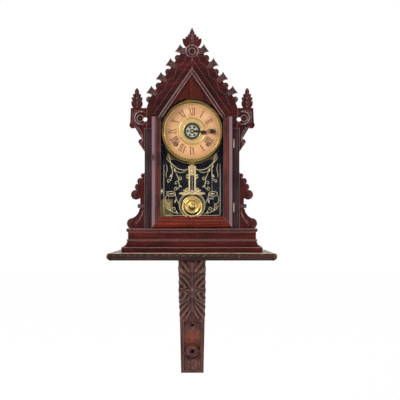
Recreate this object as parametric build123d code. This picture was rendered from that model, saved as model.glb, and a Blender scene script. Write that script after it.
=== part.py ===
from build123d import *
import os
from math import cos, hypot, pi, radians, sin, tan

# Bracket wall clock: a gabled clock case on a carved shelf, carried by one carved upright.
# Millimetres, +Z up. The clock faces -Y and hangs on the wall, which is the plane y = 0.
# The origin lies on the wall, midway between the two screws that hold the upright.

# Clearances
RUN = 0.06            # radial gap of a shaft in its bore
GAP = 0.3             # gap between pieces that move past each other
SEAT = 0.1            # radial gap of a glued or pressed plug in its pocket

# Wall bracket
SCREW_SPACING = 60.0
SCREW_HOLE_R = 2.6
SCREW_HEAD_R = 5.2
SCREW_SINK = 2.6      # depth of the countersink
SHELF_TOP = 206.0     # above the origin
SHELF_THICK = 16.0
SHELF_DEPTH = 160.0
SHELF_MARGIN = 28.0   # shelf beyond the plinth at each front corner
SHELF_SPLAY = 12.0    # narrower at the wall by this on each side
SHELF_ROUND_TOP = 5.4
SHELF_ROUND_FOOT = 7.2
CORBEL_HEIGHT = 271.0
CORBEL_TOP_WIDTH = 60.5
CORBEL_FOOT_WIDTH = 52.7
CORBEL_REACH = 118.0
PANEL_THICK = 24.0
SHELF_SCREW_X = 16.0
SHELF_SCREW_Y = 60.0
SHELF_SCREW_LONG = 42.0
SHELF_SCREW_R = 2.2
SHELF_HEAD_R = 4.4
HEAD_HIGH = 2.6
HEAD_SUNK = 0.4
LIP_ROLL = 7.0        # how far the leaf lip rolls out
LIP_UNDERCUT = 14.0
BELLY_OUT = 44.0      # belly of the leaf beyond the lower panel
CORBEL_STATIONS = (18.0, 60.0, 92.0, 150.0)  # below the shelf: lip, hollow, belly, start of the panel
BORDER_WIDE = 6.0
BORDER_RISE = 3.0
ROSETTE_R = 17.0
ROSETTE_RISE = 9.0

# Base of the case
CASE_GAP = 10.0       # from the wall to the back of the case
BASE_HEIGHT = 53.0
BASE_STEP = 36.8      # die beyond the case's side
BASE_FRONT_STEP = 14.0  # die in front of the front boards
DIE_THICK = 12.0
PLINTH_OUT = 14.0
PLINTH_HIGH = 11.0
COVE_TOP = 26.0
DIE_TOP = 45.0
LIP_OUT = 3.5
BEAD_R = 1.5
FLOOR_THICK = 10.0

# Case
CASE_HALF = 107.2
SIDE_THICK = 9.0
BACK_THICK = 6.0
FRONT_FACE = 98.0     # from the wall to the face of the front boards
FRET_THICK = 10.0
ROOF_THICK = 8.0
ROOF_OUT = 15.0       # roof surface outside the door's gable line
STILE_LAP = 6.7       # front stile behind the door's edge
CREST_LAP = 8.0       # crest board hidden behind the door
PITCH_DEG = 55.3

# Door
DOOR_APEX = 416.5     # above the shelf, as all heights below
STILE_SHOW = 15.5     # front stile seen beside the door
DOOR_CLEAR = 1.0      # from the base to the door's foot
SHOULDER_WIDE = 14.7  # from the door's edge in to the foot of its gable
DOOR_STILE_WIDE = 20.8
BOTTOM_RAIL_WIDE = 25.6
RAIL_WIDE = 9.5
STRIP_WIDE = 11.5
DOOR_THICK = 7.1
CROWN = 2.2
SIGHT_THICK = 4.4
LEDGE = 7.5
GLASS_THICK = 2.0
GLASS_LAP = 4.0
GLASS_LIP = 1.0       # wood in front of the glass
BEAD_IN = 0.8         # glass bead out of sight behind the frame
HINGE_HEIGHTS = (245.5, 100.5)
HINGE_LONG = 20.0
KNUCKLE_R = 2.0
LEAF_THICK = 0.8
LEAF_WIDE = 8.5
PIN_R = 0.9
LATCH_IN = 2.7        # latch shaft in from the door's edge
LATCH_HEIGHT = 214.3
LATCH_SHAFT_R = 1.2
LATCH_TONGUE = 5.6
LATCH_POCKET = 6.2
GRIP_LONG = 11.2
GRIP_THICK = 4.4
KEEPER_R = 0.8
KEEPER_RISE = 4.2

# Crest
BAND = 39.7           # crest board beyond the door's gable line
TAB_OUT = 13.0
TAB_LONG = 20.3
TAB_ROOT = 14.6
TAB_PITCH = 38.1
TABS = 4
TAB_CURVE = 0.11      # how hollow a tab's sides are, as a share of their length
LOBE_R = 7.0
LAST_LOBE_IN = 3.5    # the lowest lobe sits this much deeper
CREST_RISE = 45.5     # flat top of the crest above the door's apex
CREST_FOOT_RISE = 2.0  # crest above the ear where they meet
EAR_JOINT_IN = 4.8    # joint of crest and ear, in from the case's side
DISH_R = 13.2
DISH_DEEP = 3.0
DISH_DROP = 7.8       # middle of the dish below the crest's flat top
BOSS_R = 6.4
BOSS_RISE = 4.0
BOSS_RIM = 1.2
FINIAL_LEAVES = ((11.4, 0.0), (21.2, 21.1), (14.2, 19.0), (14.2, 25.2), (9.1, 25.0), (9.3, 30.2),
                 (5.6, 30.0), (5.2, 34.7), (0.0, 45.9))
LEAF_SWELL = 0.16

# Ears: places are out from the case's side and down from the ear's top
EAR_ABOVE_EAVES = 37.7
EAR_LONG = 99.0
EAR_OUT = 32.7
EAR_TAPER = 1.4
EAR_SIDE_DROP = 33.5
EAR_LOBE = (27.8, 46.2)
EAR_NOTCH = (21.3, 44.7)
EAR_WAIST = (6.5, 70.6)
EAR_HOOK = (11.8, 81.2)
EAR_DISH_R = 14.6
EAR_DISH = (7.9, 22.3)
EAR_BOSS = (10.4, 23.2)
PIERCE = (-1.0, 25.7)
PIERCE_R = 5.0
EAR_AXIS_OUT = 17.4   # middle of the ear's leaf
EAR_LEAVES = ((7.0, -1.0), (12.1, 15.4), (8.4, 14.9), (12.1, 24.1), (7.2, 23.7), (8.3, 31.8), (4.4, 31.5),
              (0.0, 45.2))

# Side scrolls: places are out from the case's side and up from the base
SCROLL_LOBES = ((3.3, 119.5, 5.5), (9.3, 107.0, 7.6), (14.3, 94.0, 7.9), (19.6, 76.5, 11.2))  # and radius
SCROLL_TOP = 128.2
SCROLL_BODY = (10.0, 43.0, 67.0)  # out, foot and top
SCROLL_BEAD = (15.9, 46.3, 55.4)
SCROLL_COVE = (11.8, 45.0)
SCROLL_END = (27.8, 11.5, 12.2)  # and radius

# Dial
DIAL_HEIGHT = 275.0
DIAL_FACE = 71.0      # from the wall to the paper
PAN_THICK = 1.0
PAN_R = 74.5
BEZEL_R = 75.5
BEZEL_OPEN_R = 63.5
BEZEL_DEEP = 12.0
BEZEL_LIP = 1.2
RING_R = 32.0
RING_OPEN_R = 18.8
RING_HIGH = 2.2
ALARM_R = 16.3
ALARM_WINDOWS = 6
WIND_X = 37.0
WIND_DROP = 29.5
WIND_HOLE_R = 4.6
WIND_RING_R = 6.0
MINUTE_LONG = 56.0
HOUR_LONG = 36.0
MINUTE_ANGLE = 91.0
HOUR_ANGLE = 97.5
BLOCK_BELOW = 31.0    # dial block below the dial's middle
BLOCK_INNER = 64.0
BLOCK_THICK = 8.0
DIAL_SCREW_X = 72.4
DIAL_SCREW_RISE = 8.0
DIAL_SCREW_R = 1.0
DIAL_SCREW_HEAD_R = 1.7
ALARM_DISC_GAP = 1.4  # from the paper to the alarm disc
ALARM_DISC_THICK = 1.0
HOUR_STEP = 3.4       # alarm disc to hour hand
MINUTE_STEP = 2.6     # hour hand to minute hand
HAND_THICK = 0.8

# Movement
PLATE_THICK = 1.5
BACK_PLATE = 20.0     # from the wall to the near face of the back plate
FRONT_PLATE = 52.0
PLATE_HALF = 58.0
PLATE_FOOT = 212.0
PLATE_TOP = 322.0
PLATE_SNIP = 4.0
PILLAR_IN = 5.0       # pillars in from the plate's edges
PILLAR_R = 3.0
SCREW_IN = 20.0       # movement screws in from the plate's sides
SCREW_UP = 4.5
ARBOR_R = 2.4
ARBOR_SQUARE = 3.2
THIN_R = 1.0          # thin arbors and studs
CENTRE_R = 1.5
PIPE_R = 3.0
WHEEL_R = 29.0
WHEEL_THICK = 1.6
WHEEL_TEETH = 48
SPRING_R = 25.0
SPRING_WIDE = 15.0
RATCHET_R = 11.0
RATCHET_TEETH = 16
ESCAPE_R = 12.0
ESCAPE_TEETH = 20
ESCAPE_HEIGHT = 238.0
PIVOT_HEIGHT = 258.0
CRUTCH_LOOP = 218.0
CRUTCH_WIRE = 1.4
CRUTCH_HALF = 1.3     # half of the loop's opening round the rod
CRUTCH_STEM_X = 5.9
POST_SLIT = 0.6       # half width of the slit for the suspension spring
PENDULUM_PLANE = 63.0
ROD_R = 1.0
BOB_HEIGHT = 103.0
BOB_R = 24.5
BOB_THICK = 9.0
ORNAMENT_THICK = 1.0
ORNAMENT_GAP = 1.6    # from the bob to the ornament's foot
BARS = (4.4, 8.8)     # each bar of the ornament, from the rod's middle
BARS_LONG = 62.0
ORNAMENT_LEAVES = ((90, 26.0, 7.0), (64, 18.0, 6.0), (101, 17.0, 4.6))  # turn from upright, reach, width
CURLS = ((58, 9.0, 4.0, 37.0), (72, 8.0, 3.6, 44.0))  # and height above the foot
GONG_HEIGHT = 112.0
GONG_WIRE_WIDE = 2.2  # radial
GONG_WIRE_DEEP = 1.6
GONG_INNER_R = 11.0
GONG_STEP = 6.0
GONG_HALF_TURNS = 9
GONG_PLANE = 42.8
HAMMER_X = 46.0
HAMMER_GAP = 1.5      # from the resting hammer to the gong
HAMMER_HEIGHT = 215.2
HAMMER_DROP = 95.0
ALARM_CLEAR = 8.2     # from the alarm movement to the side board
ALARM_HEIGHT = 97.0
ALARM_HALF = 22.0
BELL_R = 12.0
BELL_SHIFT = 8.0      # bell to the left of the alarm's middle
BELL_GAP = 2.0
ALARM_HAMMER_X = 12.0

# What follows from those sizes
COS_P, SIN_P, TAN_P = (f(radians(PITCH_DEG)) for f in (cos, sin, tan))
DIE_HALF = CASE_HALF + BASE_STEP
DIE_FRONT = FRONT_FACE + BASE_FRONT_STEP
SHELF_FRONT_HALF = DIE_HALF + PLINTH_OUT + SHELF_MARGIN
SHELF_BACK_HALF = SHELF_FRONT_HALF - SHELF_SPLAY
CASE_BACK = CASE_GAP + BACK_THICK
FRET_BACK = FRONT_FACE - FRET_THICK
DOOR_HALF = CASE_HALF - STILE_SHOW
DOOR_FOOT = BASE_HEIGHT + DOOR_CLEAR
DOOR_BACK = FRONT_FACE + GAP + 0.1
DOOR_FACE = DOOR_BACK + DOOR_THICK
STILE_INNER = DOOR_HALF - STILE_LAP
GABLE_FOOT = DOOR_HALF - SHOULDER_WIDE
SIGHT_HALF = DOOR_HALF - DOOR_STILE_WIDE
SIGHT_FOOT = DOOR_FOOT + BOTTOM_RAIL_WIDE
PIN_X = DOOR_HALF + KNUCKLE_R + 0.2
PIN_DEPTH = FRONT_FACE + 2.6
LATCH_X = DOOR_HALF - LATCH_IN
TONGUE_BACK = FRONT_FACE - LATCH_POCKET + GAP + 0.4
CREST_TOP = DOOR_APEX + CREST_RISE
DISH_HEIGHT = CREST_TOP - DISH_DROP
EAR_JOINT = CASE_HALF - EAR_JOINT_IN
PAN_BACK = DIAL_FACE - PAN_THICK
ALARM_PLANE = DIAL_FACE + ALARM_DISC_GAP
HOUR_PLANE = ALARM_PLANE + HOUR_STEP
MINUTE_PLANE = HOUR_PLANE + MINUTE_STEP
BACK_FACE = BACK_PLATE + PLATE_THICK
FRONT_OUTER = FRONT_PLATE + PLATE_THICK
VERGE_PLANE = FRONT_OUTER + 1.0
VERGE_HEIGHT = ESCAPE_HEIGHT + ESCAPE_R + 4.0
ALARM_X = -(CASE_HALF - SIDE_THICK - ALARM_CLEAR - ALARM_HALF)
PILLAR_SPOTS = [(x, h) for x in (-PLATE_HALF + PILLAR_IN, PLATE_HALF - PILLAR_IN)
                for h in (PLATE_FOOT + PILLAR_IN, PLATE_TOP - PILLAR_IN)]
SCREW_SPOTS = [(x, h) for x in (-PLATE_HALF + SCREW_IN, PLATE_HALF - SCREW_IN)
               for h in (PLATE_FOOT + SCREW_UP, PLATE_TOP - SCREW_UP)]


def up(height):
    """Z of a height that is given above the shelf."""
    return SHELF_TOP + height


def rake(out, x):
    """Height of the line that runs parallel to the door's gable, a distance out from it."""
    return DOOR_APEX + out / COS_P - x * TAN_P


# Heights set by the gable line
EAVES = rake(ROOF_OUT, CASE_HALF)
STILE_TOP = rake(-CREST_LAP, STILE_INNER)
SHOULDER = rake(0, GABLE_FOOT)
SIGHT_SHOULDER = rake(-RAIL_WIDE, SIGHT_HALF)
EAR_TOP = EAVES + EAR_ABOVE_EAVES


def on_rake(along, out):
    """Point of the right-hand slope: along it from the apex, and out from it."""
    return (along * COS_P + out * SIN_P, DOOR_APEX - along * SIN_P + out * COS_P)


def from_ear(place):
    """x and height of a place that is given out from the case's side and down from the ear's top."""
    out, drop = place
    return (CASE_HALF + out, EAR_TOP - drop)


def from_scroll(out, rise):
    """x and height of a place that is given out from the case's side and up from the base."""
    return (CASE_HALF + out, BASE_HEIGHT + rise)


def facing(points):
    """Face from points of x and height above the shelf, wound to look at the viewer."""
    twice_area = sum(x0 * h1 - x1 * h0 for (x0, h0), (x1, h1) in zip(points, points[1:] + points[:1]))
    ordered = points if twice_area > 0 else points[::-1]
    return Polygon(*[(x, up(h)) for x, h in ordered], align=None)


def board(sketch, back, thick):
    """Sketch of x and z, given depth: from y = -back forwards by thick."""
    return extrude(Plane(origin=(0, -back, 0), x_dir=(1, 0, 0), z_dir=(0, -1, 0)) * sketch, thick, dir=(0, -1, 0))


def disc(x, height, radius):
    """Round sketch at x and a height above the shelf."""
    return Pos(x, up(height)) * Circle(radius)


def box(x, depth, height):
    """Box from three ranges: x, distance from the wall and height above the shelf."""
    size = (x[1] - x[0], depth[1] - depth[0], height[1] - height[0])
    middle = ((x[0] + x[1]) / 2, -(depth[0] + depth[1]) / 2, up((height[0] + height[1]) / 2))
    return Pos(*middle) * Box(*size)


def turned(section, x, height):
    """Solid turned about a line along Y: section is a list of radius and distance from the wall."""
    face = Pos(x, 0, up(height)) * Polygon(*[(r, -depth) for r, depth in section], align=None)
    return revolve(face, Axis((x, 0, up(height)), (0, 1, 0)), 360)


def rod(x, height, radius, back, front):
    """Round bar along Y between two distances from the wall."""
    return board(disc(x, height, radius), back, front - back)


def other_side(solid):
    """The mirror image on the left of the clock."""
    return mirror(solid, about=Plane.YZ)


def save(shape, node):
    """Write one node to its own file."""
    export_step(shape, f"parts/{node}.step")


def save_pair(solid, stem, right_side=True):
    """Write a right-hand piece and its mirror image."""
    save(solid if right_side else other_side(solid), f"{stem}_right")
    save(other_side(solid) if right_side else solid, f"{stem}_left")


def leaf_run(points, bulge):
    """Curved edges through the points, each swelling to the left of its way by bulge of its length."""
    edges = []
    for (x0, h0), (x1, h1) in zip(points, points[1:]):
        mid = ((x0 + x1) / 2 - (h1 - h0) * bulge, (h0 + h1) / 2 + (x1 - x0) * bulge)
        edges.append(ThreePointArc((x0, up(h0)), (mid[0], up(mid[1])), (x1, up(h1))))
    return edges


def straight_run(points):
    """Straight edges through the points."""
    return [Line((x0, up(h0)), (x1, up(h1))) for (x0, h0), (x1, h1) in zip(points, points[1:])]


def outline(*runs):
    """Closed face from runs of edges, wound to look at the viewer."""
    face = make_face([edge for run in runs for edge in run]).faces()[0]
    return Sketch() + (face if face.normal_at().Z > 0 else -face)


def gear_sketch(radius, teeth, deep):
    """Wheel outline with plain pointed teeth."""
    points = []
    for i in range(teeth):
        for part, r in ((0, radius - deep), (0.35, radius), (0.6, radius), (0.95, radius - deep)):
            turn = 2 * pi * (i + part) / teeth
            points.append((r * cos(turn), r * sin(turn)))
    return Polygon(*points, align=None)


# Shelf and its screws


def shelf_screw(spare=0.0):
    """Countersunk screw that points down; spare widens it into the hole that it needs."""
    top = SHELF_TOP - HEAD_SUNK
    r, head = SHELF_SCREW_R + spare, SHELF_HEAD_R + spare
    foot = SHELF_TOP - SHELF_SCREW_LONG - spare
    section = [(0, foot), (r, foot), (r, top - HEAD_HIGH), (head, top), (0, top)]
    if spare:
        section[-1:] = [(head, SHELF_TOP + 1), (0, SHELF_TOP + 1)]
    return revolve(Plane.XZ * Polygon(*section, align=None), Axis.Z, 360)


def shelf_screws(spare=0.0):
    """The two screws that hold the shelf down on the upright."""
    return [Pos(x, -SHELF_SCREW_Y, 0) * shelf_screw(spare) for x in (-SHELF_SCREW_X, SHELF_SCREW_X)]


def bullnosed(slab, height, radius):
    """Round the front and side edges of the slab that lie at one height."""
    picked = [e for e in slab.edges()
              if e.length > SHELF_DEPTH / 2 and e.center().Y < -1 and abs(e.center().Z - height) < 0.01]
    return fillet(picked, radius)


def shelf():
    back, front = SHELF_BACK_HALF, SHELF_FRONT_HALF
    plan = Polygon((-back, 0), (-front, -SHELF_DEPTH), (front, -SHELF_DEPTH), (back, 0), align=None)
    slab = extrude(Pos(0, 0, SHELF_TOP - SHELF_THICK) * plan, SHELF_THICK)
    slab = bullnosed(slab, SHELF_TOP, SHELF_ROUND_TOP)
    slab = bullnosed(slab, SHELF_TOP - SHELF_THICK, SHELF_ROUND_FOOT)
    return slab - shelf_screws(RUN)


# Carved upright


def corbel_side():
    """Side view: a rolled leaf lip, a hollow, a belly and the flat lower panel."""
    under, foot = -SHELF_THICK, -SHELF_THICK - CORBEL_HEIGHT
    lip, belly, panel = CORBEL_REACH, PANEL_THICK + BELLY_OUT, PANEL_THICK
    lip_foot, hollow_foot, belly_foot, sweep_foot = (under - drop for drop in CORBEL_STATIONS)
    return outline(
        straight_run([(0, foot), (0, under), (lip - LIP_ROLL, under)]),
        leaf_run([(lip - LIP_ROLL, under), (lip - LIP_ROLL, lip_foot)], 0.22),
        leaf_run([(lip - LIP_ROLL, lip_foot), (lip - LIP_ROLL - LIP_UNDERCUT, lip_foot - LIP_ROLL)], 0.4),
        leaf_run([(lip - LIP_ROLL - LIP_UNDERCUT, lip_foot - LIP_ROLL), (belly, hollow_foot)], -0.16),
        leaf_run([(belly, hollow_foot), (belly, belly_foot)], 0.25),
        leaf_run([(belly, belly_foot), (panel, sweep_foot)], -0.17),
        straight_run([(panel, sweep_foot), (panel, foot), (0, foot)]),
    )


def corbel():
    under, foot = -SHELF_THICK, -SHELF_THICK - CORBEL_HEIGHT
    wide, narrow = CORBEL_TOP_WIDTH / 2, CORBEL_FOOT_WIDTH / 2
    taper_top = under - CORBEL_STATIONS[2]
    seen = Plane(origin=(wide, 0, 0), x_dir=(0, -1, 0), z_dir=(-1, 0, 0))
    solid = extrude(seen * corbel_side(), 2 * wide, dir=(-1, 0, 0))
    front = facing([(-wide, under), (wide, under), (wide, taper_top), (narrow, foot), (-narrow, foot),
                    (-wide, taper_top)])
    solid &= board(front, 0, CORBEL_REACH + LIP_ROLL)
    panel_top = -SHELF_THICK - CORBEL_STATIONS[3]
    inner = narrow - BORDER_WIDE
    solid -= box((-inner, inner), (PANEL_THICK - BORDER_RISE, PANEL_THICK + 1), (foot + BORDER_WIDE, panel_top))
    lower = -SHELF_TOP - SCREW_SPACING / 2
    sunk = PANEL_THICK - BORDER_RISE
    solid += turned([(0, sunk - 1), (ROSETTE_R, sunk - 1), (ROSETTE_R, sunk + 1.5),
                     (ROSETTE_R * 0.7, sunk + ROSETTE_RISE), (0, sunk + ROSETTE_RISE)], 0, lower)
    for side in (-1, 1):
        height = -SHELF_TOP + side * SCREW_SPACING / 2
        solid -= turned([(0, -1), (SCREW_HOLE_R, -1), (SCREW_HOLE_R, sunk - SCREW_SINK),
                         (SCREW_HEAD_R, sunk), (SCREW_HEAD_R, CORBEL_REACH), (0, CORBEL_REACH)], 0, height)
    return solid - shelf_screws(RUN)


# Base of the case


def base_profile():
    """Section of the base moulding: out from the die's face, and height above the shelf."""
    out = PLINTH_OUT
    return make_face([
        Line((-DIE_THICK, 0), (out, 0)),
        Line((out, 0), (out, PLINTH_HIGH)),
        Line((out, PLINTH_HIGH), (out - 1, PLINTH_HIGH)),
        ThreePointArc((out - 1, PLINTH_HIGH), (out * 0.36, PLINTH_HIGH + (COVE_TOP - PLINTH_HIGH) * 0.4),
                      (BEAD_R, COVE_TOP)),
        ThreePointArc((BEAD_R, COVE_TOP), (2 * BEAD_R, COVE_TOP + BEAD_R), (BEAD_R, COVE_TOP + 2 * BEAD_R)),
        Line((BEAD_R, COVE_TOP + 2 * BEAD_R), (0, COVE_TOP + 2 * BEAD_R)),
        Line((0, COVE_TOP + 2 * BEAD_R), (0, DIE_TOP)),
        ThreePointArc((0, DIE_TOP), (LIP_OUT * 0.3, DIE_TOP + 1.3), (LIP_OUT - 0.5, DIE_TOP + 1.8)),
        ThreePointArc((LIP_OUT - 0.5, DIE_TOP + 1.8), (LIP_OUT, (DIE_TOP + 1.8 + BASE_HEIGHT) / 2),
                      (LIP_OUT - 0.5, BASE_HEIGHT)),
        Line((LIP_OUT - 0.5, BASE_HEIGHT), (-DIE_THICK, BASE_HEIGHT)),
        Line((-DIE_THICK, BASE_HEIGHT), (-DIE_THICK, 0)),
    ])


def base_run(origin, out, along, length, plan):
    """Moulding run with its mitres: the profile along a line, cut to a plan outline."""
    plane = Plane(origin=origin, x_dir=out, z_dir=along)
    run = extrude(plane * base_profile(), length, dir=along)
    cut = Pos(0, 0, SHELF_TOP - 1) * Polygon(*plan, align=None)
    return run & extrude(cut, BASE_HEIGHT + 2, dir=(0, 0, 1))


def base_front():
    far, near = PLINTH_OUT + 2, DIE_THICK + 2
    plan = [(-DIE_HALF - far, -DIE_FRONT - far), (DIE_HALF + far, -DIE_FRONT - far),
            (DIE_HALF - near, -DIE_FRONT + near), (-DIE_HALF + near, -DIE_FRONT + near)]
    span = DIE_HALF + far
    return base_run((span, -DIE_FRONT, SHELF_TOP), (0, -1, 0), (-1, 0, 0), 2 * span, plan)


def base_side():
    far, near = PLINTH_OUT + 2, DIE_THICK + 2
    plan = [(DIE_HALF + far, -DIE_FRONT - far), (DIE_HALF + far, -CASE_GAP),
            (DIE_HALF - near, -CASE_GAP), (DIE_HALF - near, -DIE_FRONT + near)]
    start = (DIE_HALF, -CASE_GAP, SHELF_TOP)
    return base_run(start, (1, 0, 0), (0, -1, 0), DIE_FRONT + far - CASE_GAP, plan)


def case_floor():
    half = DIE_HALF - DIE_THICK
    return box((-half, half), (CASE_GAP, DIE_FRONT - DIE_THICK), (BASE_HEIGHT - FLOOR_THICK, BASE_HEIGHT))


# Case boards


def side_board():
    return box((CASE_HALF - SIDE_THICK, CASE_HALF), (CASE_BACK, FRET_BACK), (BASE_HEIGHT, EAVES))


def backboard():
    half = CASE_HALF
    shape = facing([(-half, BASE_HEIGHT), (half, BASE_HEIGHT), (half, EAVES), (0, rake(ROOF_OUT, 0)),
                    (-half, EAVES)])
    plate = board(shape, CASE_GAP, BACK_THICK)
    return plate - movement_screws(RUN)


def roof_board():
    inner = ROOF_OUT - ROOF_THICK
    foot_x = (rake(inner, 0) - EAVES) / TAN_P
    shape = facing([(0, rake(inner, 0)), (foot_x, EAVES), (CASE_HALF, EAVES), (0, rake(ROOF_OUT, 0))])
    return board(shape, CASE_BACK, FRET_BACK - CASE_BACK)


def front_stile():
    return box((STILE_INNER, CASE_HALF), (FRET_BACK, FRONT_FACE), (BASE_HEIGHT, STILE_TOP))


def hinge_mortises():
    """Shallow pockets in the right-hand stile for the hinge leaves and their barrels."""
    cuts = []
    for height in HINGE_HEIGHTS:
        span = (height - HINGE_LONG / 2 - SEAT, height + HINGE_LONG / 2 + SEAT)
        cuts.append(box((PIN_X - LEAF_WIDE - SEAT, PIN_X + KNUCKLE_R + 0.4),
                        (FRONT_FACE - LEAF_THICK, FRONT_FACE + 1), span))
    return cuts


def latch_pocket():
    """Pocket behind the door edge in which the latch tongue swings."""
    reach = LATCH_TONGUE + 1.2
    return box((STILE_INNER - 1, LATCH_X + 2.2), (FRONT_FACE - LATCH_POCKET, FRONT_FACE + 1),
               (LATCH_HEIGHT - 2.4, LATCH_HEIGHT + reach))


# Crest, ears and scrolls


def dish(x, height, radius, deep):
    """Shallow round hollow in the face of the front boards."""
    ball = (radius ** 2 + deep ** 2) / (2 * deep)
    return Pos(x, -FRONT_FACE - ball + deep, up(height)) * Sphere(ball)


def boss_seat(x, height, deep):
    """Flat-bottomed pocket for a turned boss."""
    return rod(x, height, BOSS_R + SEAT, FRONT_FACE - deep, FRONT_FACE + 1)


def dishes():
    cuts = []
    for side in (-1, 1):
        x, height = from_ear(EAR_DISH)
        cuts.append(dish(side * x, height, EAR_DISH_R, DISH_DEEP))
        x, height = from_ear(EAR_BOSS)
        cuts.append(boss_seat(side * x, height, DISH_DEEP))
        x, height = from_ear(PIERCE)
        cuts.append(rod(side * x, height, PIERCE_R, FRET_BACK - 1, FRONT_FACE + 1))
    cuts.append(dish(0, DISH_HEIGHT, DISH_R, DISH_DEEP))
    cuts.append(boss_seat(0, DISH_HEIGHT, DISH_DEEP))
    return cuts


def turned_boss(x, height):
    """Domed button that is glued into the middle of a dish."""
    seat = FRONT_FACE - DISH_DEEP
    rise = BOSS_RISE - BOSS_RIM
    ball = (BOSS_R ** 2 + rise ** 2) / (2 * rise)
    blank = rod(x, height, BOSS_R, seat, seat + BOSS_RISE + 1)
    return blank & Pos(x, -(seat + BOSS_RISE - ball), up(height)) * Sphere(ball)


def crest_tab(along):
    """Fan-shaped tab with hollow sides, its middle at a distance along the rake."""
    root, tip = TAB_ROOT / 2, TAB_LONG / 2
    corners = [on_rake(along - root, BAND - 1), on_rake(along - tip, BAND + TAB_OUT),
               on_rake(along + tip, BAND + TAB_OUT), on_rake(along + root, BAND - 1)]
    return outline(leaf_run(corners[:2], -TAB_CURVE), leaf_run(corners[1:3], -TAB_CURVE / 3),
                   leaf_run(corners[2:], -TAB_CURVE), straight_run([corners[3], corners[0]]))


def crest():
    """Right-hand crest board: fan-shaped tabs and round lobes in turn along the rake."""
    top_x = (rake(BAND, 0) - CREST_TOP) / TAN_P
    last = (TABS - 1) * TAB_PITCH
    body = facing([(0, rake(-CREST_LAP, 0)), (0, CREST_TOP), (top_x, CREST_TOP), on_rake(last - LOBE_R, BAND),
                   (EAR_JOINT, EAR_TOP + CREST_FOOT_RISE), (EAR_JOINT, STILE_TOP), (STILE_INNER, STILE_TOP)])
    for i in range(TABS):
        body += crest_tab((i - 0.5) * TAB_PITCH)
        inset = LAST_LOBE_IN if i == TABS - 1 else 0.0
        x, height = on_rake(i * TAB_PITCH, BAND - 0.6 - inset)
        body += disc(x, height, LOBE_R)
    return board(body, FRET_BACK, FRET_THICK)


def top_finial():
    """Palmette that stands where the crest boards meet."""
    return board(palmette(FINIAL_LEAVES, 0, CREST_TOP), FRET_BACK, FRET_THICK)


def palmette(leaves, axis_x, foot):
    """Leaf shape, alike on both sides of its axis: tips and notches take turns up the edge."""
    right = [(x, foot + rise) for x, rise in leaves]
    edges = []
    for i, (start, end) in enumerate(zip(right, right[1:])):
        edges += leaf_run([start, end], -LEAF_SWELL) if i % 2 == 0 else straight_run([start, end])
    foot_x = right[0][0]
    edges.append(Line((0, up(right[-1][1])), (0, up(right[0][1]))))
    edges.append(Line((0, up(right[0][1])), (foot_x, up(right[0][1]))))
    half = outline(edges)
    other = mirror(half, about=Plane.YZ).faces()[0]
    return Pos(axis_x, 0) * (half + (other if other.normal_at().Z > 0 else -other))


def ear():
    """Bracket-shaped ear: a block with a round lobe under it, a waist and a hook."""
    side, lobe, notch, waist, hook = (from_ear(place) for place in (
        (EAR_OUT, EAR_SIDE_DROP), EAR_LOBE, EAR_NOTCH, EAR_WAIST, EAR_HOOK))
    body = outline(
        straight_run([(EAR_JOINT, STILE_TOP), (EAR_JOINT, EAR_TOP), from_ear((EAR_OUT - EAR_TAPER, 0)), side]),
        leaf_run([side, lobe], 0.3),
        straight_run([lobe, notch, waist]),
        leaf_run([waist, hook], 0.42),
        straight_run([hook, from_ear((0, EAR_LONG)), (CASE_HALF, STILE_TOP), (EAR_JOINT, STILE_TOP)]),
    )
    body += palmette(EAR_LEAVES, CASE_HALF + EAR_AXIS_OUT, EAR_TOP)
    return board(body, FRET_BACK, FRET_THICK)


def scroll_block(out, foot, top):
    """Block against the case's side."""
    return facing([from_scroll(0, foot), from_scroll(out, foot), from_scroll(out, top), from_scroll(0, top)])


def side_scroll():
    """Four growing lobes over a bead, a cove and a large end lobe."""
    body_out, body_foot, body_top = SCROLL_BODY
    body = facing([from_scroll(0, SCROLL_TOP)] + [from_scroll(out, rise) for out, rise, r in SCROLL_LOBES]
                  + [from_scroll(body_out, body_top), from_scroll(body_out, body_foot), from_scroll(0, body_foot)])
    body += scroll_block(*SCROLL_BEAD)
    end_out, end_rise, end_r = SCROLL_END
    cove, end_top = from_scroll(*SCROLL_COVE), from_scroll(end_out, end_rise + end_r)
    body += outline(
        straight_run([(CASE_HALF, cove[1]), cove]),
        leaf_run([cove, end_top], -0.14),
        straight_run([end_top, from_scroll(end_out, 0), from_scroll(0, 0), (CASE_HALF, cove[1])]))
    for out, rise, radius in SCROLL_LOBES + (SCROLL_END,):
        body += disc(*from_scroll(out, rise), radius)
    body &= scroll_block(BASE_STEP + LIP_OUT, 0, SCROLL_TOP)
    return board(body, FRET_BACK, FRET_THICK)


# Door

def house(half, foot, out):
    """House-shaped sketch: upright sides and a gable that lies out from the door's gable line."""
    return facing([(-half, foot), (half, foot), (half, rake(out, half)), (0, rake(out, 0)),
                   (-half, rake(out, half))])


def rail_section(wide, strip):
    """Moulded section: out from the sight edge, and -y forwards. The strip is crowned."""
    back, face, sight = DOOR_BACK, DOOR_FACE, DOOR_BACK + SIGHT_THICK
    step = wide - strip
    edges = [Line((0, -sight), (0, -back)), Line((0, -back), (wide, -back)), Line((wide, -back), (wide, -face)),
             ThreePointArc((wide, -face), (wide - strip / 2, -face - CROWN), (step, -face))]
    if step > 0.5:
        edges += [Line((step, -face), (step, -face + 1.2)), Line((step, -face + 1.2), (0, -sight))]
    else:
        edges += [Line((step, -face), (0, -sight))]
    return make_face(edges)


def rail_run(start, along, out, length, wide, strip):
    """Length of moulding from a point on the sight edge."""
    plane = Plane(origin=(start[0], 0, up(start[1])), x_dir=(out[0], 0, out[1]), z_dir=(along[0], 0, along[1]))
    return extrude(plane * rail_section(wide, strip), length, dir=(along[0], 0, along[1]))


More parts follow.
